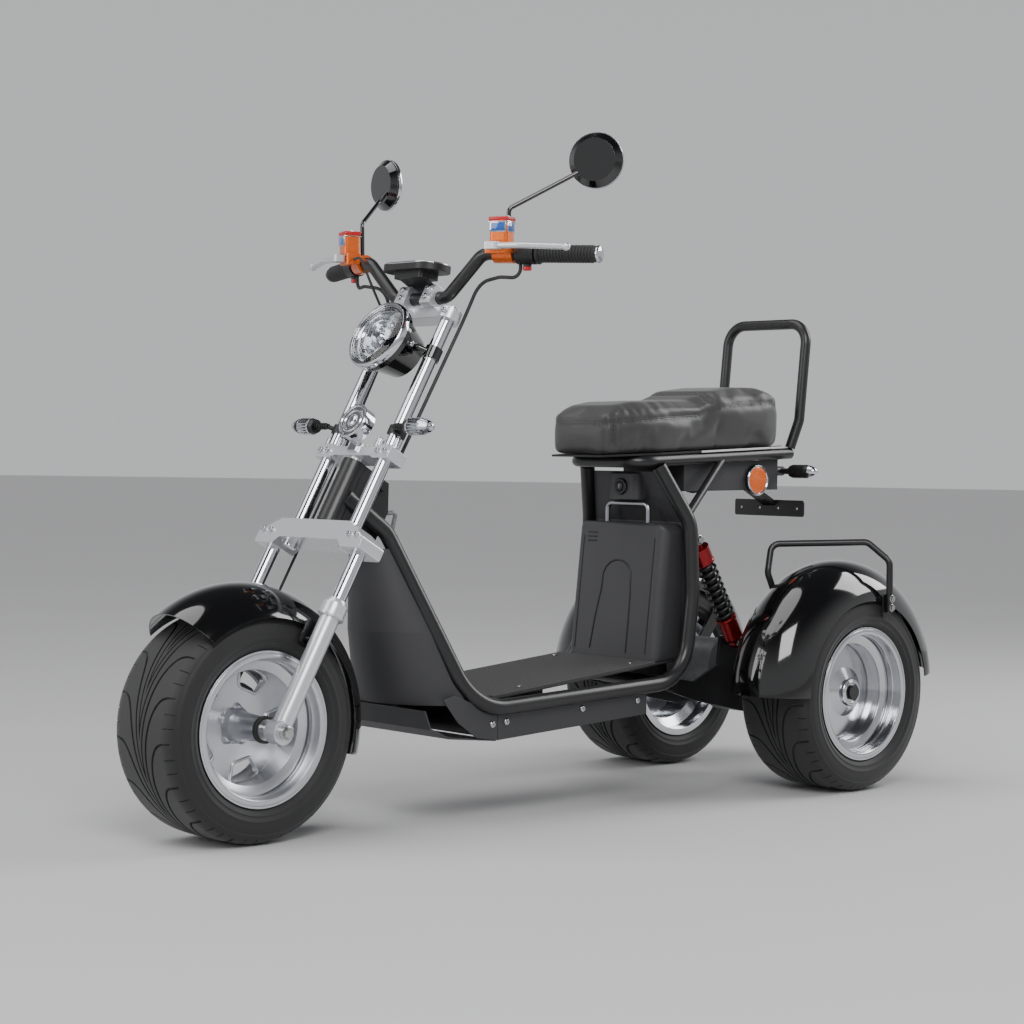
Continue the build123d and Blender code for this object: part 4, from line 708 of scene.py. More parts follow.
def add_rod(
    name: str, points: Sequence[Vector], radius: float, sides: int = 8, closed: bool = False
) -> Object:
    """Runs a round rod through points: a curve with a round bevel, turned to a mesh.

    Args:
        name: The piece's name.
        points: The points of its middle line, in metres.
        radius: Its radius in millimetres.
        sides: How many flats it has.
        closed: Whether it runs back to its first point.

    Returns:
        The rod.
    """
    curve = bpy.data.curves.new(name, "CURVE")
    curve.dimensions = "3D"
    curve.bevel_depth = radius * MM
    curve.bevel_resolution = max(0, sides // 2 - 2)
    curve.use_fill_caps = not closed
    line = curve.splines.new("POLY")
    line.points.add(len(points) - 1)
    for place, point in zip(line.points, points):
        place.co = (*point, 1.0)
    line.use_cyclic_u = closed
    obj = bpy.data.objects.new(name, curve)
    bpy.context.scene.collection.objects.link(obj)
    take(obj)
    bpy.ops.object.convert(target="MESH")
    obj = name_piece(bpy.context.object, name)
    with editing(obj):
        face_outwards(WELD)
    return obj


def add_block(name: str, centre: Vector, size: Place, turn: Matrix | None = None) -> Object:
    """Adds a block.

    Args:
        name: The piece's name.
        centre: Its middle, in metres.
        size: Its three sides in millimetres.
        turn: How it is turned.

    Returns:
        The block, with its place in its mesh.
    """
    deselect()
    bpy.ops.mesh.primitive_cube_add(
        size=1.0, location=centre, rotation=turn.to_euler() if turn else (0, 0, 0),
        scale=[side * MM for side in size],
    )
    bpy.ops.object.transform_apply(location=True, rotation=True, scale=True)
    return name_piece(bpy.context.object, name)


def soften(obj: Object, radius: float, segments: int = 2, angle: float = 35.0) -> Object:
    """Rounds the hard edges of a piece.

    Args:
        obj: The piece.
        radius: The rounding in millimetres.
        segments: Steps across the rounding.
        angle: Edges sharper than this many degrees are rounded.

    Returns:
        The same piece.
    """
    apply_modifier(
        obj, "BEVEL", width=radius * MM, segments=segments, limit_method="ANGLE",
        angle_limit=math.radians(angle),
    )
    return obj


def cut_out(obj: Object, tool: Object) -> Object:
    """Cuts one piece's shape out of another.

    Args:
        obj: The piece that is cut.
        tool: The shape that goes; it is removed.

    Returns:
        The cut piece.
    """
    apply_modifier(obj, "BOOLEAN", object=tool, operation="DIFFERENCE", solver="EXACT")
    remove(tool)
    return obj


def copy_piece(obj: Object, move: Matrix) -> Object:
    """Copies a piece with a mesh of its own, moved by a matrix.

    Args:
        obj: The piece to copy.
        move: How the copy is moved from it.

    Returns:
        The copy.
    """
    twin = obj.copy()
    twin.data = obj.data.copy()
    twin.data.transform(move)
    if move.determinant() < 0:
        twin.data.flip_normals()
    bpy.context.scene.collection.objects.link(twin)
    return twin


def remove(obj: Object) -> None:
    """Removes an object that was only a pattern for copies."""
    bpy.data.objects.remove(obj, do_unlink=True)


def join(name: str, pieces: Sequence[Object]) -> Object:
    """Joins pieces to one object.

    Args:
        name: The new piece's name.
        pieces: What it is made of.

    Returns:
        The joined piece.
    """
    take(pieces[0])
    for piece in pieces[1:]:
        piece.select_set(True)
    if len(pieces) > 1:
        bpy.ops.object.join()
    return name_piece(bpy.context.object, name)


def mirror_pair(name: str, left: Object) -> Object:
    """Joins a piece on the left with its mirror image on the right.

    Args:
        name: The new piece's name.
        left: The piece on the left.

    Returns:
        The joined piece.
    """
    right = copy_piece(left, Matrix.Scale(-1, 4, LEFT))
    return join(name, [left, right])


def place_along(pattern: Object, spots: Sequence[Line], name: str) -> Object:
    """Copies a pattern made at the origin, pointing up, to several places.

    Args:
        pattern: The piece at the origin; it is removed.
        spots: Where each copy stands and the way it points, in metres.
        name: The joined piece's name.

    Returns:
        All copies as one piece.
    """
    copies = [
        copy_piece(pattern, Matrix.Translation(at) @ way.to_track_quat("Z", "Y").to_matrix().to_4x4())
        for at, way in spots
    ]
    remove(pattern)
    return join(name, copies)


def settle(
    obj: Object, body: str, finish: Finish, replaces: Sequence[str] = (), smooth: float = 38.0
) -> Object:
    """Finishes a piece: smooth faces, its material, its body and the CAD nodes that it hides.

    Args:
        obj: The piece.
        body: The CAD body that it rides on.
        finish: Its finish.
        replaces: The CAD nodes that it stands for.
        smooth: Edges sharper than this many degrees stay sharp.

    Returns:
        The same piece.
    """
    take(obj)
    bpy.ops.object.shade_smooth_by_angle(angle=math.radians(smooth))
    obj.data.materials.clear()
    obj.data.materials.append(finish.material())
    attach(obj, body)
    if replaces:
        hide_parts(*replaces)
    log.info("%s: %d faces on %s", obj.name, len(obj.data.polygons), body)
    return obj


def hex_bolt(across: float, height: float) -> Object:
    """Models a hexagon bolt head with its washer, at the origin and pointing up.

    Args:
        across: Width over the corners in millimetres.
        height: The head's height in millimetres.

    Returns:
        The bolt head.
    """
    washer = turn_piece(
        "washer", [(0, across * 0.62), (height * 0.18, across * 0.62), (height * 0.26, across * 0.56)],
        ORIGIN, UP, 20,
    )
    head = turn_piece(
        "head", [(height * 0.2, across * 0.5), (height * 0.86, across * 0.5), (height, across * 0.42)],
        ORIGIN, UP, 6,
    )
    return join("hex_bolt", [washer, head])


def cap_screw(across: float, height: float) -> Object:
    """Models a round screw head with a hexagon socket, at the origin and pointing up.

    Args:
        across: The head's width in millimetres.
        height: The head's height in millimetres.

    Returns:
        The screw head.
    """
    outline = [
        (0, across * 0.5), (height * 0.55, across * 0.5), (height * 0.9, across * 0.42),
        (height, across * 0.34),
    ]
    head = turn_piece("cap_screw", outline, ORIGIN, UP, 18)
    key = across * 0.2
    socket = turn_piece("socket", [(height * 1.2, key), (height * 0.35, key)], ORIGIN, UP, 6)
    return cut_out(head, socket)


# Finishes of the CAD nodes that stay

NODE_FINISHES: dict[str, Finish] = {
    node: finish
    for finish, nodes in (
        (FRONT_RIM_ALLOY, ("front_rim",)),
        (REAR_RIM_ALLOY, ("rear_left_rim", "rear_right_rim")),
        (BRUSHED_STEEL, ("front_brake_disc", "battery_handle")),
        (ZINC_STEEL, ("front_axle",)),
        (CHROME, ("fork_tubes", "horn")),
        (SILVER_ENAMEL, ("fork_sliders", "lower_yoke", "mid_yoke", "top_yoke", "brake_levers")),
        (ORANGE_ANODISED, ("master_cylinders",)),
        (RED_ANODISED, ("rear_shocks",)),
        (RAW_CASTING, ("front_caliper", "drive_unit")),
        (GLOSS_BLACK, ("mirrors", "headlight_shell", "front_fender", "rear_fenders")),
        (GRIP_RUBBER, ("grips", "brake_hose")),
        (BRAIDED_SLEEVE, ("control_cables",)),
        (SMOKED_CLEAR, ("bag_hook",)),
        (RED_LENS, ("tail_lamp",)),
        (MOULDED_GREY, (
            "side_skirts", "under_pans", "leg_shield", "bay_panel", "battery_box", "tail_box",
        )),
        (BLACK_ABS, (
            "switch_pods", "display", "front_signals", "rear_signals", "charge_socket", "seat_base",
            "side_reflectors",
        )),
        (POWDER_BLACK, (
            "handlebar", "fender_guards", "fender_brackets", "frame_left_loop", "frame_right_loop",
            "head_tube", "frame_crossbars", "seat_rail", "footboard", "backrest_hoop", "plate_bracket",
            "rear_axle", "swing_arm",
        )),
    )
    for node in nodes
}
TREES: dict[str, BVHTree] = {}


def face_tree(mesh: bpy.types.Mesh) -> BVHTree:
    """The faces of a mesh, for finding where straight lines meet them."""
    return BVHTree.FromPolygons([v.co for v in mesh.vertices], [tuple(f.vertices) for f in mesh.polygons])


def dress_node(node: str, finish: Finish) -> None:
    """Gives a CAD node one finish.

    Args:
        node: The node's name.
        finish: Its finish.
    """
    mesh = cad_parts[node].data
    mesh.materials.clear()
    mesh.materials.append(finish.material())


def nearest_face(start: Vector, way: Vector, nodes: Sequence[str] = ()) -> Line:
    """Finds where a straight line first meets the CAD nodes.

    Args:
        start: Where the line starts, in metres.
        way: The unit way it goes.
        nodes: The nodes to look at, or none for all of them.

    Returns:
        The place it meets and the face's normal there.
    """
    best = None
    for node in nodes or NODE_FINISHES:
        if node not in TREES:
            TREES[node] = face_tree(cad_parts[node].data)
        place, normal, _, distance = TREES[node].ray_cast(start, way)
        if place is not None and (best is None or distance < best[2]):
            best = (place, normal, distance)
    if best is None:
        raise ValueError(f"nothing lies ahead of {tuple(start)}")
    return best[0], best[1]


def bolts_on(name: str, pattern: Object, lines: Sequence[Line], nodes: Sequence[str] = ()) -> Object:
    """Sets copies of a bolt on the CAD faces that straight lines meet.

    Args:
        name: The joined piece's name.
        pattern: The bolt at the origin, pointing up; it is removed.
        lines: Where each line starts and the way it goes.
        nodes: The nodes to look at, or none for all of them.

    Returns:
        All bolts as one piece.
    """
    spots = [(nearest_face(start, way, nodes)[0], -way) for start, way in lines]
    return place_along(pattern, spots, name)


def lines_inwards(spots: Outline, reach: float = 400.0) -> list[Line]:
    """Level lines from the left and from the right towards the middle.

    Args:
        spots: Where each pair of lines runs, as (ahead of the rear axle, above the ground).
        reach: How far out they start, in millimetres.

    Returns:
        Where each line starts and the way it goes.
    """
    return [(LAYOUT.spot(x, way * reach, z), -LEFT * way) for x, z in spots for way in (1, -1)]


# Wheels


@dataclass
class FatTyre:
    """One tyre: a crown cut by nested curved grooves, shoulder sipes and ringed side walls.

    Attributes:
        shoulder_drops: How far the shoulder drops over its width, evenly and with the cube.
        sweep: Degrees that a groove runs round the tyre from the middle to the shoulder.
        curve_step: Degrees of sweep from one column to the next where the grooves run steeply.
        flat_shares: The columns past those, as shares of the tread's half width.
        groove_most: The most that half a groove takes up round the tyre, in degrees.
        shallow: The share of the half width from which a groove is shallower, and where it ends.
        sipe_span: The shares of the half width between which sipes are cut.
        sipes: Rows of the sipes, with whether each lies at the bottom.
        wall_curve: How the side wall falls away with the square of the distance, and evenly.
        wall_inset: How far the side wall's looks lie inside the CAD one.
        side_wall: (radius, out from the smooth side wall), from the tread's edge down to the bead.
        bead: (side, radius) of the bead and the inside.
    """

    wheel: str
    node: str
    crown_radius: float = 238.5
    tread_half: float = 97.5
    crown_half: float = 65.5
    crown_drop: float = 1.6
    shoulder: float = 32.0
    shoulder_drops: Pair = (0.59, 8.81)
    pitches: int = 16
    sweep: float = 64.0
    sweep_power: int = 4
    curve_steps: int = 21
    curve_step: float = 3.05
    flat_shares: tuple[float, ...] = (0.55, 0.6, 0.66, 0.72, 0.78, 0.82, 0.87, 0.92, 0.95, 0.98, 1.0)
    groove_half: float = 2.9
    groove_most: float = 3.8
    groove_floor: float = 0.62
    groove_depth: float = 5.0
    shallow: Pair = (0.93, 0.97)
    shallow_depth: float = 0.4
    sipe_depth: float = 3.0
    sipe_span: Pair = (0.8, 1.05)
    land: tuple[float, ...] = (0.16, 0.44, 0.56, 0.84)
    sipes: tuple[tuple[float, bool], ...] = (
        (0.318, False), (0.325, True), (0.340, True), (0.347, False),
        (0.648, False), (0.655, True), (0.670, True), (0.677, False),
    )
    wall_radius: float = 198.0
    wall_side: float = 107.5
    wall_curve: Pair = (0.010402, 0.0322)
    wall_inset: float = 0.6
    side_wall: tuple[Pair, ...] = (
        (224.0, 0.0), (219.5, 0.0), (218.5, 1.0), (216.0, 1.0), (215.0, 0.0), (207.0, 0.0), (198.0, 0.0),
        (190.0, 0.0), (189.0, 0.7), (187.0, 0.7), (186.0, 0.0), (178.0, 0.0), (176.5, 1.4), (172.5, 1.6),
        (170.5, 0.2), (167.0, 0.0),
    )
    bead: tuple[Pair, ...] = ((91.5, 162.3), (91.5, 152.3), (79.5, 152.3), (95.5, 198.0), (85.5, 215.5))

    def _columns(self) -> list[Place]:
        """The half section as (side, radius, share of the tread's half width), from the middle outwards."""
        shares = [
            1 - (1 - self.curve_step * step / self.sweep) ** (1 / self.sweep_power)
            for step in range(self.curve_steps)
        ]
        shares += self.flat_shares
        columns = [(s * self.tread_half, self._crown(s * self.tread_half), s) for s in shares]
        square, even = self.wall_curve
        for radius, proud in self.side_wall:
            over = radius - self.wall_radius
            side = self.wall_side - square * over**2 - even * over + proud - self.wall_inset
            columns.append((side, radius, WALL_SHARE))
        return columns + [(side, radius, BEAD_SHARE) for side, radius in self.bead]

    def _crown(self, side: float) -> float:
        """The tread's radius at a distance from the tyre's middle.

        Args:
            side: Millimetres from the middle.

        Returns:
            The radius in millimetres.
        """
        if side <= self.crown_half:
            return self.crown_radius - self.crown_drop * (side / self.crown_half) ** 2
        edge = (side - self.crown_half) / self.shoulder
        even, cube = self.shoulder_drops
        return self.crown_radius - self.crown_drop - even * edge - cube * edge**3

    def _half_width(self, share: float) -> float:
        """Half a groove's width along the tyre, in degrees, so that it is as wide across everywhere.

        Args:
            share: The share of the tread's half width.

        Returns:
            Degrees round the wheel.
        """
        bend = self.sweep_power * self.sweep * max(0.0, 1 - share) ** (self.sweep_power - 1)
        steep = bend * math.radians(self.crown_radius) / self.tread_half
        half = math.degrees(self.groove_half / self.crown_radius) * math.hypot(1, steep)
        return min(half, self.groove_most)

    def _rows(self, share: float) -> list[Pair]:
        """The rows of one pitch as (degrees from the groove's middle, depth) at one place across the tread.

        Args:
            share: The share of the tread's half width.

        Returns:
            One pair for each row.
        """
        half, pitch = self._half_width(share), 360 / self.pitches
        shallow, end = self.shallow
        cut = self.groove_depth * (1.0 if share <= shallow else self.shallow_depth if share < end else 0.0)
        sipe = self.sipe_depth if self.sipe_span[0] < share < self.sipe_span[1] else 0.0
        room, floor = pitch - 2 * half, half * self.groove_floor
        rows = [(-half, 0.0), (-floor, cut), (floor, cut), (half, 0.0)]
        marks = [(f, 0.0) for f in self.land] + [(f, sipe if deep else 0.0) for f, deep in self.sipes]
        return rows + [(half + f * room, depth) for f, depth in sorted(marks)]

    def build(self) -> Object:
        """Shapes a torus to the tyre, row by row.

        Returns:
            The tyre.
        """
        half = self._columns()
        loop = half + [(-side, radius, share) for side, radius, share in reversed(half[1:])]
        rows = [self._rows(share) for _, _, share in loop]
        count = len(rows[0])
        deselect()
        bpy.ops.mesh.primitive_torus_add(
            major_segments=self.pitches * count, minor_segments=len(loop), major_radius=0.2, minor_radius=0.05
        )
        tyre = name_piece(bpy.context.object, f"{self.node}_treaded")
        hub = LAYOUT.hub(self.wheel)
        for index, vertex in enumerate(tyre.data.vertices):
            row, column = divmod(index, len(loop))
            pitch, step = divmod(row, count)
            side, radius, share = loop[column]
            place, depth = rows[column][step]
            lead = self.sweep * (1 - max(0.0, 1 - share) ** self.sweep_power)
            turn = math.radians(pitch * 360 / self.pitches + place + lead)
            reach = (radius - depth) * MM
            vertex.co = hub + Vector((math.cos(turn) * reach, side * MM, math.sin(turn) * reach))
        with editing(tyre):
            face_outwards()
        return settle(tyre, self.wheel, TYRE_RUBBER, [self.node], smooth=32)


@dataclass
class WheelDetails:
    """Turned steps in a rim's barrel, on one side of the wheel, and the boss of a rear hub."""

    wheel: str
    way: int
    slot_name: str
    finish: Finish
    steps: tuple[Turned, ...] = (
        Turned(((66, 146.6), (66, 141.5), (69, 140), (74, 140), (77, 141.5), (77, 146.6)), 96, ring=True),
        Turned(
            ((47.5, 125.5), (50, 119.5), (54, 119.5), (57.5, 132), (61, 138.5), (61, 146.6), (58, 146.6)),
            96, ring=True,
        ),
        Turned(
            ((95, 146.6), (95, 145), (98.2, 144.2), (99.4, 146.5), (99.4, 156), (98.3, 158), (98.3, 146.6)),
            96, ring=True,
        ),
    )
    boss: Turned = Turned(
        ((54, 22), (61, 23.5), (61, 27), (59, 28.5), (59, 32), (56, 34), (50, 34), (50, 22)), 64, ring=True
    )

    def build(self) -> Object:
        """Turns the steps.

        Returns:
            The steps as one piece.
        """
        hub, axis = LAYOUT.hub(self.wheel), LEFT * self.way
        rings = [step.make("step", hub, axis) for step in self.steps]
        if self.wheel != "front_wheel":
            rings.append(self.boss.make("boss", hub, axis))
        side = "left" if self.way > 0 else "right"
        steps = soften(join(f"{self.wheel}_{side}_rim_steps", rings), 0.6)
        return settle(steps, self.wheel, self.finish)


@dataclass
class FrontHub:
    """What shows on the front wheel: window lips, a scalloped hub foot and the hub's seals.

    Attributes:
        face: How far left of the middle the disc's face is.
        start: The angle of the first window, as the CAD counts it.
        lip_proud: How far a lip's middle line stands off the disc.
        window: A window's outline as (outwards, round the wheel) from its middle.
        foot_wave: How far the foot's lobes go out and in.
        foot_steps: (inwards, upwards) of each step on the foot.
    """

    face: float = -4.0
    windows: int = 5
    window_radius: float = 99.0
    start: float = 67.0
    lip: float = 3.2
    lip_proud: float = 0.8
    window: tuple[Pair, ...] = (
        (15, -36), (20, -30), (22.5, -18), (23.5, 0), (22.5, 18), (20, 30), (15, 36), (7, 36), (-4, 31),
        (-18, 26), (-23, 20), (-23, -20), (-18, -26), (-4, -31), (7, -36),
    )
    lobes: int = 5
    foot_radius: float = 43.0
    foot_wave: float = 5.0
    foot_points: int = 60
    foot_thick: float = 12.0
    foot_steps: tuple[Pair, ...] = ((3, 2), (4, 6))
    bore_radius: float = 16.0
    seal: Turned = Turned(
        ((94, 24.8), (94, 28.5), (103, 28.5), (104.2, 27), (104.2, 22), (100, 22)), 40, ring=True
    )

    def build(self) -> None:
        """Builds all of it."""
        self._lips()
        self._foot()
        self._seal()

    def _ways(self, degrees: float) -> tuple[Vector, Vector]:
        """The ways outwards and round the wheel at an angle.

        Args:
            degrees: The angle, as the CAD windows count it.

        Returns:
            The way outwards and the way round.
        """
        turn = math.radians(degrees)
        out = Vector((-math.cos(turn), 0, math.sin(turn)))
        return out, LEFT.cross(out)

    def _lips(self) -> None:
        """Rounds a raised lip about each window."""
        hub = LAYOUT.hub("front_wheel")
        lips = []
        for number in range(self.windows):
            out, around = self._ways(self.start + number * 360 / self.windows)
            middle = hub + (out * self.window_radius + LEFT * (self.face + self.lip_proud)) * MM
            path = [middle + (out * u + around * v) * MM for u, v in self.window]
            lips.append(add_rod("lip", path, self.lip, 10, closed=True))
        settle(join("front_window_lips", lips), "front_wheel", FRONT_RIM_ALLOY, smooth=60)

    def _foot(self) -> None:
        """Stands the scalloped foot of the hub on the disc, bored for the axle."""
        hub = LAYOUT.hub("front_wheel")
        outline = []
        for step in range(self.foot_points):
            turn = math.tau * step / self.foot_points
            reach = self.foot_radius + self.foot_wave * math.cos(self.lobes * turn)
            outline.append((math.cos(turn) * reach, math.sin(turn) * reach))
        out, around = self._ways(self.start)
        foot = add_plate(
            "front_hub_foot", outline, hub + LEFT * (self.face - 0.5) * MM, around, out, self.foot_thick
        )
        with editing(foot):
            pick(foot, lambda _, normal: normal.y > 0.9)
            for inwards, upwards in self.foot_steps:
                bpy.ops.mesh.inset(thickness=inwards * MM, depth=upwards * MM)
        soften(foot, 1.0)
        bore = add_cylinder("bore", hub - LEFT * 0.04, hub + LEFT * 0.04, self.bore_radius, 48)
        settle(cut_out(foot, bore), "front_wheel", FRONT_RIM_ALLOY)

    def _seal(self) -> None:
        """Fits the dark seals on the hub's ends."""
        seals = [self.seal.make("seal", LAYOUT.hub("front_wheel"), LEFT * way) for way in (1, -1)]
        settle(join("front_hub_seals", seals), "front_wheel", GRIP_RUBBER)


@dataclass
class ForkBolts:
    """Bolts of the axle, the yokes and the bar clamps, and turned collars on the tubes.

    Attributes:
        screws: Where the line to each screw starts, as (up the fork, ahead of it, left of the middle).
        caps: The same for the lines down to the middle yoke's caps.
        cap_radii: The radius between the rings and on them.
        collars: How far up the fork each collar is, with its name and shape.
    """

    screws: tuple[Place, ...] = (
        (440, 120, -158), (440, 120, -134), (440, 120, 134), (440, 120, 158),
        (648, 110, -108), (648, 110, -84), (648, 110, 84), (648, 110, 108),
        (998, 120, -104), (998, 120, 104),
        (1026, 120, -43), (1026, 120, 43), (1046, 120, -43), (1046, 120, 43),
    )
    caps: tuple[Place, ...] = ((760, 10, -66), (760, 10, 66), (760, 2, -114), (760, 2, 114))
    cap_rings: int = 5
    cap_pitch: float = 4.0
    cap_radii: Pair = (8.0, 9.6)
    cap_end: tuple[Pair, ...] = ((20, 8), (23, 5), (24, 0))
    collars: tuple[tuple[float, str, Turned], ...] = (
        (289, "wiper", Turned(((0, 15.4), (0, 24), (4, 24), (8, 21), (12, 20), (12, 15.4)), 40, ring=True)),
        (262, "step", Turned(((0, 26.5), (0, 28.2), (3, 28.6), (6, 28.2), (6, 26.5)), 40, ring=True)),
    )

    def build(self) -> None:
        """Builds the bolts and the collars."""
        ahead, up, hub = LAYOUT.ahead_fork(), LAYOUT.up_fork(), LAYOUT.hub("front_wheel")
        ends = [(hub + LEFT * way * 0.3, -LEFT * way) for way in (1, -1)]
        axle = bolts_on("front_axle_bolts", hex_bolt(24, 11), ends)
        settle(axle, "steering", ZINC_STEEL, smooth=25)
        faces = [(LAYOUT.fork(*spot), -ahead) for spot in self.screws]
        screws = bolts_on("yoke_screws", cap_screw(13, 7), faces)
        settle(screws, "steering", CHROME, smooth=30)
        tops = [(LAYOUT.fork(*spot), -up) for spot in self.caps]
        caps = bolts_on("mid_yoke_caps", self._ringed_cap(), tops, ["mid_yoke"])
        settle(caps, "steering", CHROME)
        self._collars()

    def _ringed_cap(self) -> Object:
        """Models a threaded cap at the origin: a stack of rings with a domed end."""
        inner, outer = self.cap_radii
        outline = [(-2.0, inner)]
        for ring in range(self.cap_rings):
            foot = ring * self.cap_pitch
            outline += [(foot, inner), (foot + 1.0, outer), (foot + 3.0, outer)]
        return turn_piece("cap", [*outline, *self.cap_end], ORIGIN, UP, 20)

    def _collars(self) -> None:
        """Turns the wiper collars where the tubes enter the sliders."""
        rings = [
            shape.make(name, LAYOUT.fork(height, 0, side), LAYOUT.up_fork())
            for side in (-LAYOUT.leg_side, LAYOUT.leg_side) for height, name, shape in self.collars
        ]
        settle(join("fork_wipers", rings), "steering", SILVER_ENAMEL)


@dataclass
class HeadlightFace:
    """The headlight's ring, clear domed lens and the faceted reflector behind it.

    Attributes:
        ring: The bright ring's shape, as (ahead of the fork, radius).
        bolt_line: Where the lines to the side bolts start: (ahead of the fork, out from the middle).
    """

    up: float = 901.0
    ring: Turned = Turned(
        ((84, 70.6), (84, 80.6), (76, 80.6), (76, 82.4), (84, 82.8), (89, 81.6), (92, 79), (92, 77),
         (89.5, 76), (89.5, 73.5), (87, 72.6), (87, 70.6)), 96, ring=True,
    )
    reflector: Turned = Turned(
        ((71.6, 68.8), (82, 68.8), (82, 67), (76.5, 58), (80, 50), (74.5, 42), (78.5, 34), (73.5, 26),
         (77.5, 17), (74, 12), (79, 8), (80, 0)), 26,
    )
    dome: Turned = Turned(
        ((82.4, 69.4), (86, 69.4), (90.5, 62), (94, 48), (96.5, 30), (97.5, 12), (97.6, 0)), 72
    )
    bolt_line: Pair = (45.0, 200.0)

    def build(self) -> None:
        """Builds the ring, the reflector, the lens and the side bolts."""
        centre, ahead = LAYOUT.fork(self.up), LAYOUT.ahead_fork()
        settle(self.ring.make("headlight_ring", centre, ahead), "steering", CHROME)
        bowl = self.reflector.make("headlight_reflector", centre, ahead)
        settle(bowl, "steering", CHROME, smooth=2)
        lens = self.dome.make("headlight_dome", centre, ahead)
        with editing(lens):
            pick(lens, lambda _, normal: normal.dot(ahead) < -0.9)
            bpy.ops.mesh.inset(thickness=2 * MM)
        settle(lens, "steering", CLEAR_LENS, ["headlight_lens"])
        forward, out = self.bolt_line
        sides = [(LAYOUT.fork(self.up, forward, out * way), -LEFT * way) for way in (1, -1)]
        bolts = bolts_on("headlight_side_bolts", cap_screw(14, 8), sides, ["headlight_shell"])
        settle(bolts, "steering", CHROME)


@dataclass
class HornFace:
    """The horn's ringed chrome face."""

    up: float = 704.0
    rings: Turned = Turned(
        ((50, 39.6), (52.4, 40.4), (54.5, 39), (54.5, 36), (52.6, 34), (52.6, 29), (54.6, 27), (54.6, 24),
         (52.6, 22), (52.6, 14), (55.6, 11), (56.4, 5), (56.4, 0)), 64,
    )

    def build(self) -> None:
        """Turns the rings on the horn's front."""
        face = self.rings.make("horn_rings", LAYOUT.fork(self.up), LAYOUT.ahead_fork())
        settle(face, "steering", CHROME)


@dataclass
class SignalCaps:
    """Ridged stalks of the four turn signals, clear ends in front and bright tips behind.

    Attributes:
        front: The root of the front left stalk: (up the fork, ahead of it, left of the middle).
        rear: The root of the rear left stalk: (ahead of the rear axle, left, up).
        glow: The shape of the reflector in a clear end, as (out from the root, radius).
    """

    front: Place = (704.0, 26.0, 112.0)
    rear: Place = (-35.3, 87.7, 776.0)
    ridges: int = 5
    ridge_start: float = 8.0
    ridge_pitch: float = 6.0
    glow: Turned = Turned(((60, 17.2), (92, 17.4), (118, 9.4), (122.3, 0)), 16)
    flutes: int = 8
    flute_start: float = 60.0
    flute_pitch: float = 4.0
    flute_radii: Pair = (18.6, 18.1)
    cover_foot: tuple[Pair, ...] = ((58, 18.0),)
    cover_end: tuple[Pair, ...] = ((94, 18.2), (112, 13), (120, 9.4), (124, 4), (124.6, 0))
    band: Turned = Turned(((54, 17.0), (54, 18.8), (59, 18.8), (59, 17.0)), 40, ring=True)
    tip: Turned = Turned(((100, 14.2), (103, 15.6), (112, 12.6), (118, 9.8), (122.4, 5), (123, 0)), 32)

    def build(self) -> None:
        """Builds the ends and ridges of each pair."""
        front, rear = LAYOUT.fork(*self.front), LAYOUT.spot(*self.rear)
        self._stalks("front_signal_ridges", "steering", front)
        glow = self.glow.make("glow", front, LEFT)
        settle(mirror_pair("front_signal_reflectors", glow), "steering", CHROME, smooth=2)
        cover = turn_piece("cover", self._cover(), front, LEFT, 40)
        settle(mirror_pair("front_signal_lenses", cover), "steering", CLEAR_LENS, smooth=60)
        band = self.band.make("band", front, LEFT)
        settle(mirror_pair("front_signal_bands", band), "steering", CHROME)
        self._stalks("rear_signal_ridges", "chassis", rear)
        tip = self.tip.make("tip", rear, LEFT)
        settle(mirror_pair("rear_signal_tips", tip), "chassis", CHROME)

    def _stalks(self, name: str, body: str, root: Vector) -> None:
        """Turns the ridges of one pair of stalks.

        Args:
            name: The piece's name.
            body: The body that it rides on.
            root: The root of the left stalk.
        """
        ridges = []
        for number in range(self.ridges):
            foot = self.ridge_start + number * self.ridge_pitch
            outline = [(foot, 5), (foot, 7.6), (foot + 3, 7.6), (foot + 4, 5)]
            ridges.append(turn_piece("ridge", outline, root, LEFT, 24, ring=True))
        settle(mirror_pair(name, join("ridges", ridges)), body, BLACK_ABS)

    def _cover(self) -> list[Pair]:
        """The fluted outline of a clear end."""
        outline = list(self.cover_foot)
        on, between = self.flute_radii
        for number in range(self.flutes):
            foot = self.flute_start + number * self.flute_pitch
            outline += [(foot, on), (foot + self.flute_pitch / 2, between)]
        return [*outline, *self.cover_end]


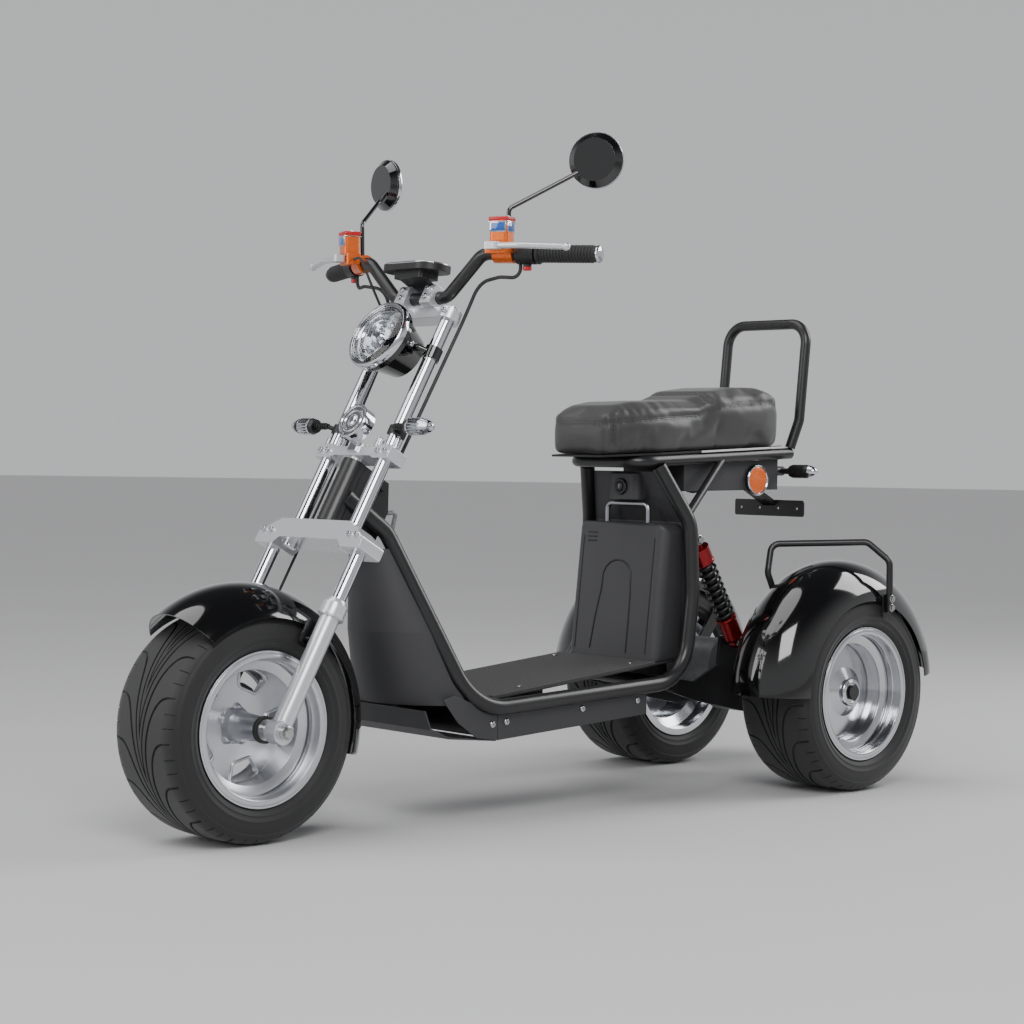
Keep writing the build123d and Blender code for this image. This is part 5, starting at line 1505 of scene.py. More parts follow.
@dataclass
class Controls:
    """Grip ribs, flanges and end caps, pod buttons, brake fluid tanks, and the mirrors' rims and glass.

    Attributes:
        rise: Where the left grip's middle line starts, at the bar's bend.
        end: Where it ends.
        rib_from: How far in from the bar's end the innermost rib is; the other _from sizes count likewise.
        tank_out: The fluid tank's middle as (ahead, above) of the grip's middle line.
        mirrors: Name, side and degrees turned outwards of each mirror.
    """

    rise: Place = (1088.0, 190.0, 1240.0)
    end: Place = (994.0, 439.0, 1232.0)
    ribs: int = 17
    rib_from: float = 126.0
    rib_pitch: float = 7.2
    rib: Turned = Turned(((0, 17.2), (1, 19.2), (4, 19.2), (5, 17.2)), 28, ring=True)
    flange_from: float = 132.0
    flange: Turned = Turned(((-3, 17), (-3, 22), (0, 23), (3, 22), (3, 17)), 40, ring=True)
    cap: Turned = Turned(((5.5, 15), (5.5, 18.4), (8, 18.6), (11, 16.5), (12.5, 11), (13, 0)), 40)
    button_from: float = 160.0
    button: Turned = Turned(((28, 9.6), (34, 9.6), (36, 8), (36.6, 0)), 28)
    tank_from: float = 207.0
    tank_out: Pair = (30.0, 14.0)
    lid: Place = (41.0, 46.5, 9.0)
    tank_rim: Place = (42.0, 47.5, 2.6)
    rim_drop: float = 6.0
    screw_out: float = 15.0
    screw_up: float = 4.8
    glass_drop: float = 17.0
    glass_side: float = 21.4
    mirrors: tuple[tuple[str, int, float], ...] = (("left", 1, 30.0), ("right", -1, 10.0))
    mirror_at: Place = (911.0, 352.0, 1445.0)
    mirror_rim: Turned = Turned(
        ((-2.5, 55), (-2.5, 59.5), (0, 61), (6, 60.8), (6, 59), (0.5, 55)), 64, ring=True
    )
    mirror_glass: Turned = Turned(((-1.6, 0.01), (-1.4, 55.4), (0.5, 55.4)), 64)

    def _along(self, t: float) -> Vector:
        """A point on the left grip's middle line.

        Args:
            t: Millimetres in from the bar's end.

        Returns:
            The point in metres.
        """
        end = LAYOUT.spot(*self.end)
        return end - self._way() * t * MM

    def _way(self) -> Vector:
        """The unit way outwards along the left grip."""
        return (LAYOUT.spot(*self.end) - LAYOUT.spot(*self.rise)).normalized()

    def _ahead(self) -> Vector:
        """The level unit way ahead of the left grip."""
        way = self._way()
        return Vector((way.y, -way.x, 0)).normalized()

    def build(self) -> None:
        """Builds the pieces of both ends of the bar."""
        way, ahead = self._way(), self._ahead()
        ribs = [
            self.rib.make("rib", self._along(self.rib_from - number * self.rib_pitch), way)
            for number in range(self.ribs)
        ]
        settle(mirror_pair("grip_ribs", join("ribs", ribs)), "steering", GRIP_RUBBER)
        flange = self.flange.make("flange", self._along(self.flange_from), way)
        settle(mirror_pair("grip_flanges", flange), "steering", GRIP_RUBBER)
        cap = self.cap.make("cap", self._along(0), way)
        settle(mirror_pair("bar_end_caps", cap), "steering", CHROME)
        button = self.button.make("button", self._along(self.button_from), -UP)
        settle(mirror_pair("pod_buttons", button), "steering", RED_BUTTON)
        self._tank(ahead)
        self._mirrors()

    def _tank(self, ahead: Vector) -> None:
        """Fits lids, screws and sight glasses to the brake fluid tanks.

        Args:
            ahead: The level unit way ahead of the left grip.
        """
        forward, above = self.tank_out
        middle = self._along(self.tank_from) + (ahead * forward + UP * above) * MM
        top = nearest_face(middle + UP * 0.2, -UP, ["master_cylinders"])[0]
        across = UP.cross(ahead)
        turn = Matrix((ahead, across, UP)).transposed()
        lid = soften(add_block("lid", top + UP * 0.5 * MM, self.lid, turn), 3.0, 3)
        settle(mirror_pair("tank_lids", lid), "steering", RED_BUTTON)
        rim = soften(add_block("rim", top - UP * self.rim_drop * MM, self.tank_rim, turn), 1.0, 2)
        settle(mirror_pair("tank_rims", rim), "steering", CHROME)
        spots = [(top + across * s * self.screw_out * MM + UP * self.screw_up * MM, UP) for s in (-1, 1)]
        screws = mirror_pair("tank_screws", place_along(cap_screw(7, 3), spots, "screws"))
        settle(screws, "steering", CHROME)
        level = top - UP * self.glass_drop * MM
        front = nearest_face(level + ahead * 0.15, -ahead, ["master_cylinders"])[0]
        panes, frames = [], []
        for size, rim_size, place, out in (
            ((3.2, 32, 17), (2.4, 38, 23), front, ahead),
            ((27, 2.4, 17), (33, 2.0, 23), level + across * self.glass_side * MM, across),
        ):
            frames.append(soften(add_block("frame", place, rim_size, turn), 0.8, 2))
            panes.append(soften(add_block("pane", place + out * MM, size, turn), 0.8, 2))
        settle(mirror_pair("sight_glass_rims", join("frames", frames)), "steering", CHROME)
        settle(mirror_pair("sight_glasses", join("panes", panes)), "steering", SIGHT_GLASS)

    def _mirrors(self) -> None:
        """Puts a bright rim and silvered glass on each mirror."""
        x, y, z = self.mirror_at
        for name, way, degrees in self.mirrors:
            turn = math.radians(degrees)
            facing = Vector((math.cos(turn), way * math.sin(turn), 0))
            middle = LAYOUT.spot(x, way * y, z)
            face = nearest_face(middle - facing * 0.1, facing, ["mirrors"])[0]
            rim = self.mirror_rim.make(f"{name}_mirror_rim", face, facing)
            settle(rim, "steering", CHROME)
            glass = self.mirror_glass.make(f"{name}_mirror_glass", face, facing)
            settle(glass, "steering", MIRROR_GLASS)


@dataclass
class DisplayFace:
    """The display's bright bezel and black glass.

    Attributes:
        lean: How far the way out of its face leans back, for each unit up.
    """

    half_length: float = 88.0
    half_width: float = 46.0
    middle: Place = (1112.0, 0.0, 1206.0)
    lean: float = 0.12
    bezel_inset: float = 2.0
    bezel: float = 2.6
    glass_inset: float = 5.0
    glass_thick: float = 1.6

    def _stadium(self, inset: float, steps: int = 14) -> list[Pair]:
        """The display's outline, drawn in by a margin.

        Args:
            inset: The margin in millimetres.
            steps: Points on each round end.

        Returns:
            Points (across, ahead) in millimetres.
        """
        radius, reach = self.half_width - inset, self.half_length - self.half_width
        points = []
        for start, side in ((-90, 1), (90, -1)):
            for n in range(steps + 1):
                turn = math.radians(start + 180 * n / steps)
                points.append((side * reach + radius * math.cos(turn), radius * math.sin(turn)))
        return points

    def build(self) -> None:
        """Builds the bezel and the glass on the display's face."""
        up = Vector((-self.lean, 0, 1)).normalized()
        right, ahead = -LEFT, LEFT.cross(up)
        face = nearest_face(LAYOUT.spot(*self.middle) + up * 0.1, -up, ["display"])[0]
        rod = [face + (right * u + ahead * v) * MM for u, v in self._stadium(self.bezel_inset)]
        bezel = add_rod("display_bezel", rod, self.bezel, 10, closed=True)
        settle(bezel, "steering", CHROME, smooth=60)
        outline = self._stadium(self.glass_inset)
        glass = add_plate("display_glass", outline, face - up * 0.3 * MM, right, ahead, self.glass_thick)
        with editing(glass):
            pick(glass, lambda _, normal: normal.dot(up) > 0.9)
            bpy.ops.mesh.inset(thickness=2 * MM, depth=0.6 * MM)
        settle(glass, "steering", DISPLAY_GLASS)


@dataclass
class RibbedMat:
    """The rubber mat with lengthwise ribs, and the screws of floor and skirts.

    Attributes:
        edge: How far a rib's top corner stands in from its foot.
        screws: (ahead of the rear axle, left of the middle) of the mat's screws.
        skirt_screws: (ahead of the rear axle, above the ground) of the skirts' screws.
    """

    rear: float = 492.0
    front: float = 1014.0
    half: float = 161.7
    top: float = 325.0
    top_at: float = 484.0
    fall: float = 0.092
    thick: float = 4.6
    ribs: int = 29
    groove: float = 3.2
    depth: float = 1.6
    edge: float = 0.01
    screws: tuple[Pair, ...] = ((540, -128), (540, 128), (900, -128), (900, 128))
    screw_up: float = 0.4
    skirt_screws: tuple[Pair, ...] = ((1027, 216), (985, 219), (748, 232), (566, 239))

    def _height(self, ahead: float) -> float:
        """How high the ribs' tops are, a distance ahead of the rear axle."""
        return self.top - (ahead - self.top_at) * self.fall

    def build(self) -> None:
        """Builds the mat and the screws."""
        pitch = 2 * self.half / self.ribs
        wide = pitch - self.groove
        section = [(-self.half, -self.thick), (self.half, -self.thick)]
        for rib in range(self.ribs):
            right = self.half - rib * pitch
            section += [
                (right, 0 if rib == 0 else -self.depth), (right - self.edge, 0), (right - wide, 0),
                (right - wide, -self.depth),
            ]
        section.append((-self.half, -self.depth))
        along = Vector((1, 0, -self.fall)).normalized()
        up = along.cross(LEFT)
        corner = LAYOUT.spot(self.rear, 0, self._height(self.rear))
        length = (self.front - self.rear) * math.hypot(1, self.fall)
        mat = add_plate("ribbed_foot_mat", section, corner, LEFT, up, length)
        settle(mat, "chassis", MAT_RUBBER, ["foot_mat"], smooth=20)
        spots = [(LAYOUT.spot(x, y, self._height(x) + self.screw_up), up) for x, y in self.screws]
        settle(place_along(cap_screw(13, 3), spots, "mat_screws"), "chassis", ZINC_STEEL)
        screws = bolts_on("skirt_screws", cap_screw(15, 4), lines_inwards(self.skirt_screws), ["side_skirts"])
        settle(screws, "chassis", ZINC_STEEL)


@dataclass
class BatteryFront:
    """The moulded lines of the battery box, as black rods whose black is painted shade in its grooves, and the
    lock above it.

    Attributes:
        arch: The arch's middle and half width and height, as (left, up from the lower edge) pairs.
        arch_turns: Where the points of its round top lie, in radians.
    """

    lower: Place = (484.0, 0.0, 325.0)
    upper: Place = (449.0, 0.0, 648.0)
    arch: tuple[Pair, Pair] = ((4.0, 190.0), (48.0, 44.0))
    arch_turns: tuple[float, ...] = (2.9, 2.5, 2.1, 1.7, 1.3, 0.9, 0.4)
    arch_right: tuple[Pair, ...] = ((-67, 16), (-58, 90), (-44, 165))
    arch_left: tuple[Pair, ...] = ((53, 150), (54, 80), (54, 12))
    lines: tuple[tuple[Pair, Pair], ...] = (
        ((-118, 14), (-118, 290)), ((118, 14), (118, 290)),
        ((-104, 298), (-74, 298)), ((-104, 288), (-74, 288)), ((-104, 278), (-74, 278)),
    )
    arch_rod: float = 2.0
    line_rod: float = 1.6
    lock_line: Place = (700.0, 0.0, 735.0)
    drum: Turned = Turned(
        ((-1, 17), (-1, 20), (4, 20), (6, 18), (6, 13), (3, 12), (3, 11), (7, 10.4), (7.6, 8), (7.6, 0)), 40
    )
    keyway: Place = (1.2, 1.8, 9.0)
    keyway_at: float = 7.4

    def _path(self, spots: Outline) -> list[Vector]:
        """Points on the box's sloping front.

        Args:
            spots: (left, up from the lower edge) in millimetres.

        Returns:
            The points in metres.
        """
        low, high = LAYOUT.spot(*self.lower), LAYOUT.spot(*self.upper)
        up = (high - low).normalized()
        return [low + (up * v + LEFT * y) * MM for y, v in spots]

    def build(self) -> None:
        """Builds the mouldings, in black that paints the grooves' shade, and the lock."""
        (left, up), (wide, high) = self.arch
        top = [(left + wide * math.cos(t), up + high * math.sin(t)) for t in self.arch_turns]
        arch = [*self.arch_right, *top, *self.arch_left]
        lines = [add_rod("line", self._path(arch), self.arch_rod)]
        lines += [add_rod("line", self._path(ends), self.line_rod) for ends in self.lines]
        # Painted shade: the rods are black where the grey box only has shaded grooves
        settle(join("battery_groove_shade_lines", lines), "chassis", BLACK_ABS, smooth=60)
        face = nearest_face(LAYOUT.spot(*self.lock_line), -AHEAD)[0]
        drum = self.drum.make("seat_lock_barrel", face, AHEAD)
        slot = add_block("seat_lock_keyway", face + AHEAD * self.keyway_at * MM, self.keyway)
        settle(drum, "chassis", BLACK_ABS)
        settle(slot, "chassis", CHROME)


@dataclass
class SeatCushion:
    """The padded seat: a cloth pass over the CAD cushion, with sewn seams pressed into it.

    Attributes:
        foot_band: Points this near the cushion's foot don't sink.
        lift_band: How high above the foot the lift starts, and over how much height it grows.
        front_seam: The seams down the front corners: ahead, then from and to how high.
        seam_drop: How far below the outline the side seams run.
        press: How deep the seams are pressed in, how wide, and how far that reaches.
        strips: Name, size, ahead, up, finish and slot of the strip and the pad under the cushion.
    """

    shrink: float = 0.985
    weld: float = 0.01
    voxel: float = 6.0
    quick_voxel: float = 12.0
    most_move: float = 12.0
    pressure: float = 4.0
    cloth_frames: int = 20
    cloth_over: float = 6.0
    foot_band: float = 20.0
    ease_rounds: tuple[int, int] = (8, 10)
    front_lift: float = 32.0
    lift_from: float = 330.0
    lift_to: float = 612.0
    lift_power: float = 1.4
    lift_band: Pair = (12.0, 40.0)
    outline: tuple[Pair, ...] = (
        (606, 898), (575, 904), (500, 912), (385, 920), (300, 926), (240, 948), (150, 960), (60, 962),
        (0, 952), (-18, 934),
    )
    profile_end: float = 590.0
    front_seam: tuple[int, int, int] = (575, 836, 892)
    step_seams: tuple[int, int] = (262, 248)
    seam_drop: float = 16.0
    seam_pitch: int = 8
    corner_pitch: int = 4
    side_line: float = 260.0
    step_half: int = 112
    step_line: float = 1060.0
    front_half: int = 84
    front_line: Pair = (760.0, 884.0)
    press: Place = (3.4, 8.0, 24.0)
    welt: float = 1.3
    stitch: float = 6.0
    stitch_radius: float = 0.75
    stitch_pitch: float = 9.0
    stitch_off: float = 5.0
    strips: tuple[tuple[str, Place, float, float, Finish, str], ...] = (
        ("seat_strip", (300, 2.4, 5), 150, 828.7, WHITE_ABS, "silver_paint"),
        ("seat_rear_pad", (56, 5, 8), 10, 835.4, BLACK_ABS, "black_plastic"),
    )
    strip_turn: float = 2.75

    def build(self) -> None:
        """Builds the cushion, its seams and its stitches."""
        cushion = self._puffed()
        seams = self._seams(face_tree(cushion.data))
        self._press(cushion, [point for path in seams for point, _ in path])
        tree = face_tree(cushion.data)
        seams = self._seams(tree)
        settle(cushion, "chassis", SEAT_LEATHER, ["seat_cushion"], smooth=180)
        welts = [add_rod("welt", [place for place, _ in path], self.welt, 8) for path in seams]
        settle(join("seat_welts", welts), "chassis", SEAT_LEATHER, smooth=60)
        self._stitches(tree, seams)
        self._strip()

    def _puffed(self) -> Object:
        """Copies the CAD cushion, remeshes it and lets it puff out under pressure.

        Returns:
            The cushion.
        """
        cushion = copy_piece(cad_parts["seat_cushion"], Matrix.Identity(4))
        name_piece(cushion, "seat_cushion_sewn")
        lo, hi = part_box("seat_cushion")
        middle = (Vector(lo) + Vector(hi)) / 2
        cushion.data.transform(
            Matrix.Translation(middle) @ Matrix.Scale(self.shrink, 4) @ Matrix.Translation(-middle)
        )
        with editing(cushion):
            face_outwards(self.weld * MM)
        voxel = self.voxel
        apply_modifier(cushion, "REMESH", mode="VOXEL", voxel_size=voxel * MM)
        self._raise_front(cushion)
        before, after = self.ease_rounds
        apply_modifier(cushion, "SMOOTH", factor=0.5, iterations=before)
        self._cloth(cushion, Vector(lo), Vector(hi))
        apply_modifier(cushion, "SMOOTH", factor=0.5, iterations=after)
        apply_modifier(cushion, "SUBSURF", levels=1, render_levels=1)
        return cushion

    def _raise_front(self, cushion: Object) -> None:
        """Lifts the front of the cushion, so that its front wall stands as tall as in the photograph.

        Args:
            cushion: The cushion.
        """
        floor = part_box("seat_cushion")[0][2]
        start, growth = self.lift_band
        for vertex in cushion.data.vertices:
            ahead = (vertex.co.x - LAYOUT.spot(0, 0, 0).x) / MM
            along = (ahead - self.lift_from) / (self.lift_to - self.lift_from)
            lift = self.front_lift * max(0.0, min(1.0, along)) ** self.lift_power
            share = min(1.0, max(0.0, (vertex.co.z - floor - start * MM) / (growth * MM)))
            vertex.co.z += lift * share * MM

    def _cloth(self, cushion: Object, lo: Vector, hi: Vector) -> None:
        """Runs the cloth pass and keeps each point near where it was.

        Args:
            cushion: The cushion.
            lo: The low corner of the CAD cushion's box.
            hi: The high corner of that box.
        """
        before = [v.co.copy() for v in cushion.data.vertices]
        take(cushion)
        cloth = cushion.modifiers.new("cloth", "CLOTH")
        cloth.settings.use_pressure = True
        cloth.settings.uniform_pressure_force = self.pressure
        cloth.settings.effector_weights.gravity = 0
        cloth.settings.quality = 5
        for number in range(1, self.cloth_frames + 1):
            bpy.context.scene.frame_set(number)
        bpy.ops.object.modifier_apply(modifier="cloth")
        bpy.context.scene.frame_set(1)
        over = self.cloth_over * MM
        for vertex, was in zip(cushion.data.vertices, before):
            move = vertex.co - was
            if move.length > self.most_move * MM:
                vertex.co = was + move * (self.most_move * MM / move.length)
            if vertex.co.z < was.z and was.z < lo.z + self.foot_band * MM:
                vertex.co.z = was.z
            vertex.co.y = max(lo.y - over, min(hi.y + over, vertex.co.y))
            vertex.co.x = max(lo.x - over, min(hi.x + over, vertex.co.x))

    def _seams(self, tree: BVHTree) -> list[list[Line]]:
        """Finds the seams: along both top edges, down the front corners and across the step.

        Args:
            tree: The cushion's faces.

        Returns:
            For each seam, its points and the cushion's normals there.
        """
        ahead, low, high = self.front_seam
        seams = []
        for way in (1, -1):
            sides = [(x, z - self.seam_drop) for x, z in self._profile(self.seam_pitch)]
            corners = [(ahead, z) for z in range(low, high, self.corner_pitch)]
            for points in (sides, corners):
                starts = [LAYOUT.spot(x, way * self.side_line, z) for x, z in points]
                seams.append([self._meet(tree, start, -LEFT * way) for start in starts])
        for x in self.step_seams:
            across = range(-self.step_half, self.step_half + 1, self.seam_pitch)
            seams.append([self._meet(tree, LAYOUT.spot(x, y, self.step_line), -UP) for y in across])
        x, z = self.front_line
        across = range(-self.front_half, self.front_half + 1, self.seam_pitch)
        seams.append([self._meet(tree, LAYOUT.spot(x, y, z), -AHEAD) for y in across])
        return [[spot for spot in path if spot] for path in seams]

    def _profile(self, step: float) -> list[Pair]:
        """Even points along the seat's side outline.

        Args:
            step: About how far apart, in millimetres.

        Returns:
            Points (ahead, up) in millimetres.
        """
        points = []
        for (x, z), (to_x, to_z) in zip(self.outline, self.outline[1:]):
            count = max(1, round(math.hypot(to_x - x, to_z - z) / step))
            points += [(x + (to_x - x) * n / count, z + (to_z - z) * n / count) for n in range(count)]
        return [(x, z) for x, z in points if x < self.profile_end]

    def _meet(self, tree: BVHTree, start: Vector, way: Vector) -> Line | None:
        """Where a straight line meets the cushion.

        Args:
            tree: The cushion's faces.
            start: Where the line starts.
            way: The way it goes.

        Returns:
            The place and the normal, or None when it passes by.
        """
        place, normal, _, _ = tree.ray_cast(start, way)
        return (place, normal) if place is not None else None

    def _press(self, cushion: Object, points: Sequence[Vector]) -> None:
        """Presses the cushion in along the seams.

        Args:
            cushion: The cushion.
            points: Points along the seams.
        """
        depth, width, reach = (size * MM for size in self.press)
        seam = KDTree(len(points))
        for number, point in enumerate(points):
            seam.insert(point, number)
        seam.balance()
        normals = [v.normal.copy() for v in cushion.data.vertices]
        for vertex, normal in zip(cushion.data.vertices, normals):
            _, _, far = seam.find(vertex.co)
            if far < reach:
                vertex.co -= normal * depth * math.exp(-((far / width) ** 2))

    def _stitches(self, tree: BVHTree, seams: Sequence[Sequence[Line]]) -> None:
        """Sews a row of stitches along each side of every seam.

        Args:
            tree: The cushion's faces.
            seams: The seams' points and normals.
        """
        half = UP * self.stitch / 2 * MM
        pattern = add_cylinder("stitch", -half, half, self.stitch_radius, 6)
        soften(pattern, 0.4, 1, 60)
        spots = []
        for path in seams:
            travelled = 0.0
            for (point, normal), (after, _) in zip(path, path[1:]):
                travelled += (after - point).length / MM
                if travelled < self.stitch_pitch:
                    continue
                travelled = 0.0
                along = (after - point).normalized()
                for side in (-1, 1):
                    off = normal.cross(along) * side * self.stitch_off * MM
                    spots.append((tree.find_nearest(point + off)[0] + normal * 0.2 * MM, along))
        settle(place_along(pattern, spots, "seat_stitches"), "chassis", SEAT_THREAD)

    def _strip(self) -> None:
        """Adds the pale strip under the rear half of the cushion and its black rear pad."""
        turn = Matrix.Rotation(math.radians(self.strip_turn), 3, "Y")
        for name, size, x, z, finish, slot in self.strips:
            place = nearest_face(LAYOUT.spot(x, 400, z), -LEFT, ["seat_base", "seat_rail", "seat_cushion"])[0]
            strip = soften(add_block("strip", place, size, turn), 0.8)
            settle(mirror_pair(name, strip), "chassis", finish)


@dataclass
class TailDetails:
    """Side reflectors with their prisms, and the bolts of the guards.

    Attributes:
        reflector: (ahead of the rear axle, above the ground) of the side reflectors.
        prism_rows: How many rows of prisms there are on each side of the middle one.
        guards: (ahead of the rear axle, above the ground) of the guards' bolts.
    """

    reflector: Pair = (72.0, 753.0)
    rim: Turned = Turned(((-2, 33), (-2, 38.6), (1.4, 38.6), (3, 37), (3, 34.6), (1, 33)), 56, ring=True)
    lens: Turned = Turned(((-1.4, 33.4), (1.2, 33.4), (2.4, 30), (3.4, 15), (3.6, 0)), 56)
    prism: Turned = Turned(((0, 3.0), (1.2, 2.2), (1.9, 0)), 6)
    prism_rows: int = 4
    prism_pitch: Pair = (6.4, 5.6)
    prism_reach: float = 28.0
    prism_out: float = 2.2
    guards: tuple[Pair, ...] = ((-55, 470), (-55, 448))

    def build(self) -> None:
        """Builds them."""
        start, way = lines_inwards([self.reflector])[0]
        place = nearest_face(start, way, ["side_reflectors"])[0]
        rim = self.rim.make("rim", place, LEFT)
        settle(mirror_pair("reflector_rims", rim), "chassis", CHROME)
        lens = self.lens.make("lens", place, LEFT)
        settle(mirror_pair("reflector_lenses", lens), "chassis", AMBER_LENS)
        prism = self.prism.make("prism", ORIGIN, UP)
        prisms = mirror_pair("reflector_prisms", place_along(prism, self._prism_spots(place), "prisms"))
        settle(prisms, "chassis", AMBER_LENS, smooth=5)
        lines = lines_inwards(self.guards, 600)
        bolts = bolts_on("guard_bolts", hex_bolt(15, 6), lines, ["fender_guards", "rear_fenders"])
        settle(bolts, "chassis", ZINC_STEEL, smooth=25)

    def _prism_spots(self, place: Vector) -> list[Line]:
        """Where the prisms stand on the left lens, in rows that are set over by half a pitch in turn.

        Args:
            place: The middle of the reflector's face.

        Returns:
            The place of each prism and the way it points.
        """
        along, between = self.prism_pitch
        numbers = range(-self.prism_rows, self.prism_rows + 1)
        spots = []
        for row in numbers:
            for column in numbers:
                u, v = (column + (row % 2) / 2) * along, row * between
                if math.hypot(u, v) < self.prism_reach:
                    spots.append((place + (Vector((u, 0, v)) + LEFT * self.prism_out) * MM, LEFT))
        return spots


@dataclass
class CoilSprings:
    """The wound springs of the rear shocks, their dark sleeves, their collars and their bolts.

    Attributes:
        top: The left shock's upper eye; foot is its lower one.
        sleeve: The inner and outer radius of the sleeve inside the spring.
    """

    top: Place = (346.0, 150.0, 609.0)
    foot: Place = (190.0, 150.0, 355.0)
    radius: float = 22.0
    wire: float = 3.9
    turns: float = 8.5
    turn_points: int = 28
    start: float = 66.0
    finish: float = 76.0
    collar_bore: float = 14.2
    sleeve: Pair = (14.1, 15.2)

    def build(self) -> None:
        """Winds the springs and turns the collars."""
        top, foot = LAYOUT.spot(*self.top), LAYOUT.spot(*self.foot)
        axis = (foot - top).normalized()
        length = (foot - top).length / MM
        end = length - self.finish
        coil = add_rod("coil", self._helix(top, axis, length), self.wire, 10)
        wire = mirror_pair("shock_coils", coil)
        settle(wire, "chassis", POWDER_BLACK, ["shock_springs"], smooth=60)
        collars = (
            # (how far below the upper eye, width, radius)
            (self.start - 9, 9, 26), (self.start - 17, 6, 21), (end, 8, 25),
        )
        rings = []
        for at, wide, radius in collars:
            outline = [
                (at, self.collar_bore), (at, radius), (at + 2, radius + 1), (at + wide - 2, radius + 1),
                (at + wide, radius), (at + wide, self.collar_bore),
            ]
            rings.append(turn_piece("ring", outline, top, axis, 36, ring=True))
        settle(mirror_pair("shock_collars", join("rings", rings)), "chassis", RED_ANODISED)
        inner, outer = self.sleeve
        outline = [(self.start, inner), (self.start, outer), (end, outer), (end, inner)]
        sleeve = turn_piece("sleeve", outline, top, axis, 32, ring=True)
        settle(mirror_pair("shock_sleeves", sleeve), "chassis", BLACK_ABS)
        eyes = lines_inwards([(x, z) for x, _, z in (self.top, self.foot)])
        bolts = bolts_on("shock_bolts", hex_bolt(20, 8), eyes)
        settle(bolts, "chassis", ZINC_STEEL, smooth=25)

    def _helix(self, top: Vector, axis: Vector, length: float) -> list[Vector]:
        """The middle line of the left spring's wire.

        Args:
            top: The upper eye.
            axis: The unit way down the shock.
            length: From eye to eye, in millimetres.

        Returns:
            Its points.
        """
        across = axis.cross(LEFT)
        count = round(self.turns * self.turn_points)
        room = length - self.start - self.finish - 2 * self.wire
        points = []
        for number in range(count + 1):
            turn = math.tau * number / self.turn_points
            along = self.start + self.wire + room * number / count
            out = (LEFT * math.cos(turn) + across * math.sin(turn)) * self.radius
            points.append(top + (axis * along + out) * MM)
        return points


# Floor, light and camera


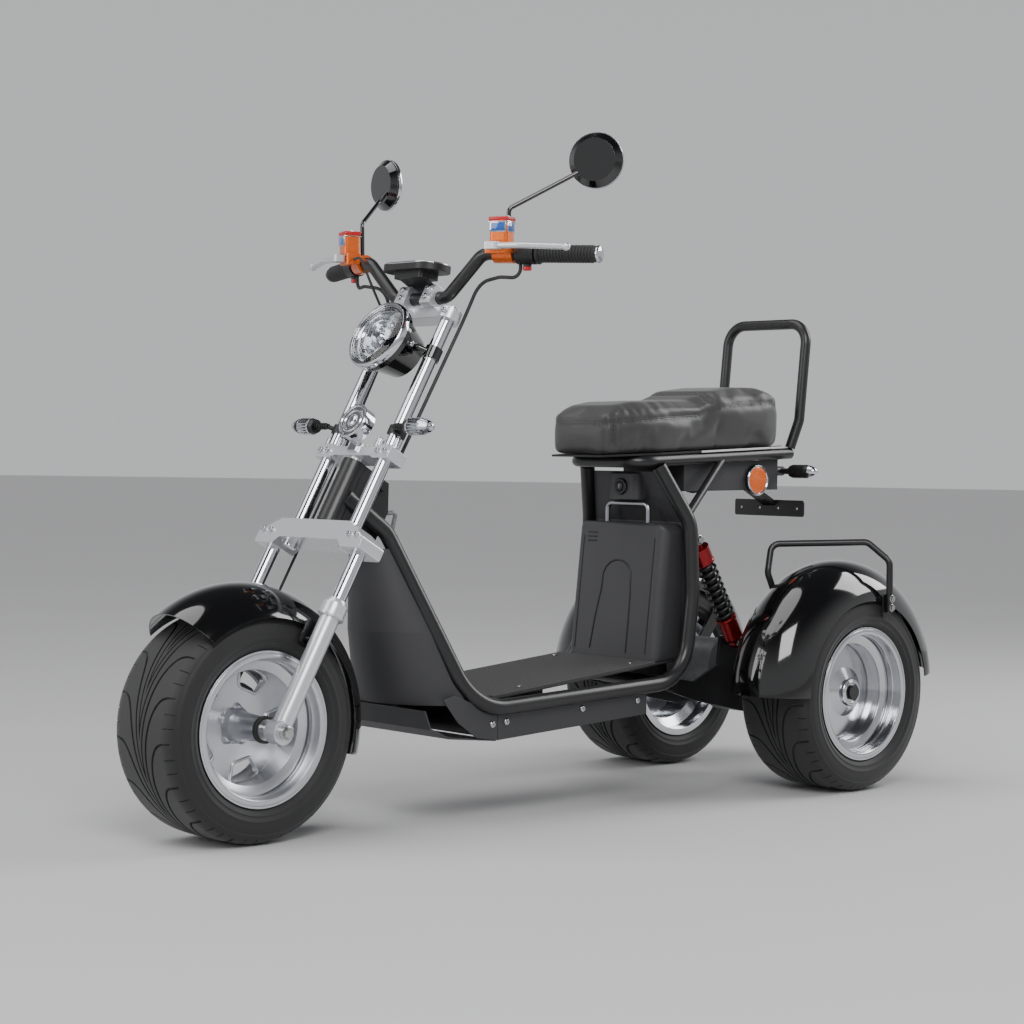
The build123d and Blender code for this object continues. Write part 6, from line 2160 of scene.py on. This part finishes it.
@dataclass
class Studio:
    """A pale floor, a soft sky, three soft lights and a sun, with the camera where the photograph was taken.

    Attributes:
        roll: Degrees that its right side is raised.
        sky_span: Where the low colour turns to the high one, from 0, level, to 1, overhead.
        lights: Name, place, aim and side in metres, and watts of each light.
    """

    camera_at: Place = (4340.2, 3733.4, 808.5)
    aim_at: Place = (650.0, 0.0, 450.0)
    yaw: float = 1.28
    pitch: float = 2.42
    roll: float = 0.85
    lens: float = 78.22
    sensor: float = 36.0
    floor_radius: float = 60.0
    floor_drop: float = 0.0002
    sky_low: str = "d6d7d9"
    sky_high: str = "4a4b4e"
    sky_span: Pair = (0.16, 0.75)
    sky_strength: float = 0.85
    sun_turn: Place = (24.0, 12.0, 30.0)
    sun_strength: float = 1.5
    sun_width: float = 50.0
    lights: tuple[tuple[str, Place, Place, float, float], ...] = (
        ("key_light", (2.6, 3.2, 3.6), (0.1, 0.0, 0.5), 2.4, 150.0),
        ("fill_light", (4.6, -1.6, 2.2), (0.3, 0.0, 0.5), 2.6, 70.0),
        ("back_light", (-3.6, 1.6, 3.0), (-0.3, 0.0, 0.6), 2.4, 110.0),
    )

    def build(self) -> None:
        """Builds the floor, the sky, the lights and the camera."""
        self._floor()
        self._sky()
        for name, place, aim, side, watts in self.lights:
            self._light(name, Vector(place), Vector(aim), side, watts)
        self._sun()
        self._camera()

    def _sun(self) -> None:
        """Adds a wide, weak sun, so that the floor is as bright far off as it is near."""
        deselect()
        bpy.ops.object.light_add(type="SUN", rotation=[math.radians(turn) for turn in self.sun_turn])
        sun = bpy.context.object
        sun.name = "even_light"
        sun.data.energy = self.sun_strength
        sun.data.angle = math.radians(self.sun_width)

    def _floor(self) -> None:
        """Adds the floor: a wide disc with a faint variation in its paint."""
        deselect()
        bpy.ops.mesh.primitive_circle_add(
            vertices=96, radius=self.floor_radius, fill_type="NGON", location=(0, 0, -self.floor_drop)
        )
        floor = name_piece(bpy.context.object, "studio_floor")
        # Matt floor paint: pale grey, very slightly uneven where the roller went
        paint = Finish("matt_floor_paint", "c6c6c7", "cbcbcc", 0.72, patch_mm=900, drift=0.04)
        floor.data.materials.append(paint.material())

    def _sky(self) -> None:
        """Makes the room's light: pale low down, darker overhead, so that bright metal has contrast."""
        world = bpy.data.worlds.new("studio_sky")
        bpy.context.scene.world = world
        world.use_nodes = True
        tree = world.node_tree
        tree.nodes.clear()
        way = add_node(tree, "ShaderNodeTexCoord").outputs["Generated"]
        height = add_node(tree, "ShaderNodeSeparateXYZ", {"Vector": way}).outputs["Z"]
        low, high = self.sky_span
        share = add_node(
            tree, "ShaderNodeMapRange", {"Value": height, "From Min": low, "From Max": high},
            interpolation_type="SMOOTHSTEP",
        ).outputs["Result"]
        colours = {"Factor": share, 6: to_linear(self.sky_low), 7: to_linear(self.sky_high)}
        colour = add_node(tree, "ShaderNodeMix", colours, data_type="RGBA").outputs[2]
        inputs = {"Color": colour, "Strength": self.sky_strength}
        light = add_node(tree, "ShaderNodeBackground", inputs).outputs["Background"]
        add_node(tree, "ShaderNodeOutputWorld", {"Surface": light})

    def _light(self, name: str, place: Vector, aim: Vector, side: float, watts: float) -> None:
        """Hangs one soft square light.

        Args:
            name: The light's name.
            place: Where it hangs.
            aim: What it points at.
            side: Its side in metres.
            watts: Its power.
        """
        deselect()
        towards = (aim - place).to_track_quat("-Z", "Y").to_euler()
        bpy.ops.object.light_add(type="AREA", location=place, rotation=towards)
        lamp = bpy.context.object
        lamp.name = name
        lamp.data.size = side
        lamp.data.energy = watts

    def _camera(self) -> None:
        """Sets the camera where the fit to the photograph puts it."""
        place = LAYOUT.spot(*self.camera_at)
        aim = (LAYOUT.spot(*self.aim_at) - place).normalized()
        yaw = math.atan2(aim.y, aim.x) + math.radians(self.yaw)
        pitch = math.asin(aim.z) + math.radians(self.pitch)
        forward = Vector((math.cos(pitch) * math.cos(yaw), math.cos(pitch) * math.sin(yaw), math.sin(pitch)))
        level = forward.cross(UP).normalized()
        upright = level.cross(forward)
        roll = math.radians(self.roll)
        right = level * math.cos(roll) + upright * math.sin(roll)
        up = upright * math.cos(roll) - level * math.sin(roll)
        deselect()
        bpy.ops.object.camera_add(location=place)
        camera = bpy.context.object
        camera.name = "photo_camera"
        camera.matrix_world = Matrix.Translation(place) @ Matrix((right, up, -forward)).transposed().to_4x4()
        camera.data.lens = self.lens
        camera.data.sensor_width = self.sensor
        camera.data.clip_end = 200.0
        bpy.context.scene.camera = camera


def main() -> None:
    """Builds the vehicle's looks in order."""
    logging.basicConfig(level=logging.INFO, format="%(name)s: %(message)s")
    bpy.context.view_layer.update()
    for node, finish in NODE_FINISHES.items():
        dress_node(node, finish)
    for wheel, ways, finish, slot in (
        ("front", (1, -1), FRONT_RIM_ALLOY, "cast_alloy"),
        ("rear_left", (1,), REAR_RIM_ALLOY, "polished_alloy"),
        ("rear_right", (-1,), REAR_RIM_ALLOY, "polished_alloy"),
    ):
        FatTyre(f"{wheel}_wheel", f"{wheel}_tyre").build()
        for way in ways:
            WheelDetails(f"{wheel}_wheel", way, slot, finish).build()
    sections = (
        FrontHub(), ForkBolts(), HeadlightFace(), HornFace(), SignalCaps(), Controls(), DisplayFace(),
        RibbedMat(), BatteryFront(), SeatCushion(), TailDetails(), CoilSprings(), Studio(),
    )
    for section in sections:
        log.info("building %s", type(section).__name__)
        section.build()


if __name__ == "__main__":
    main()
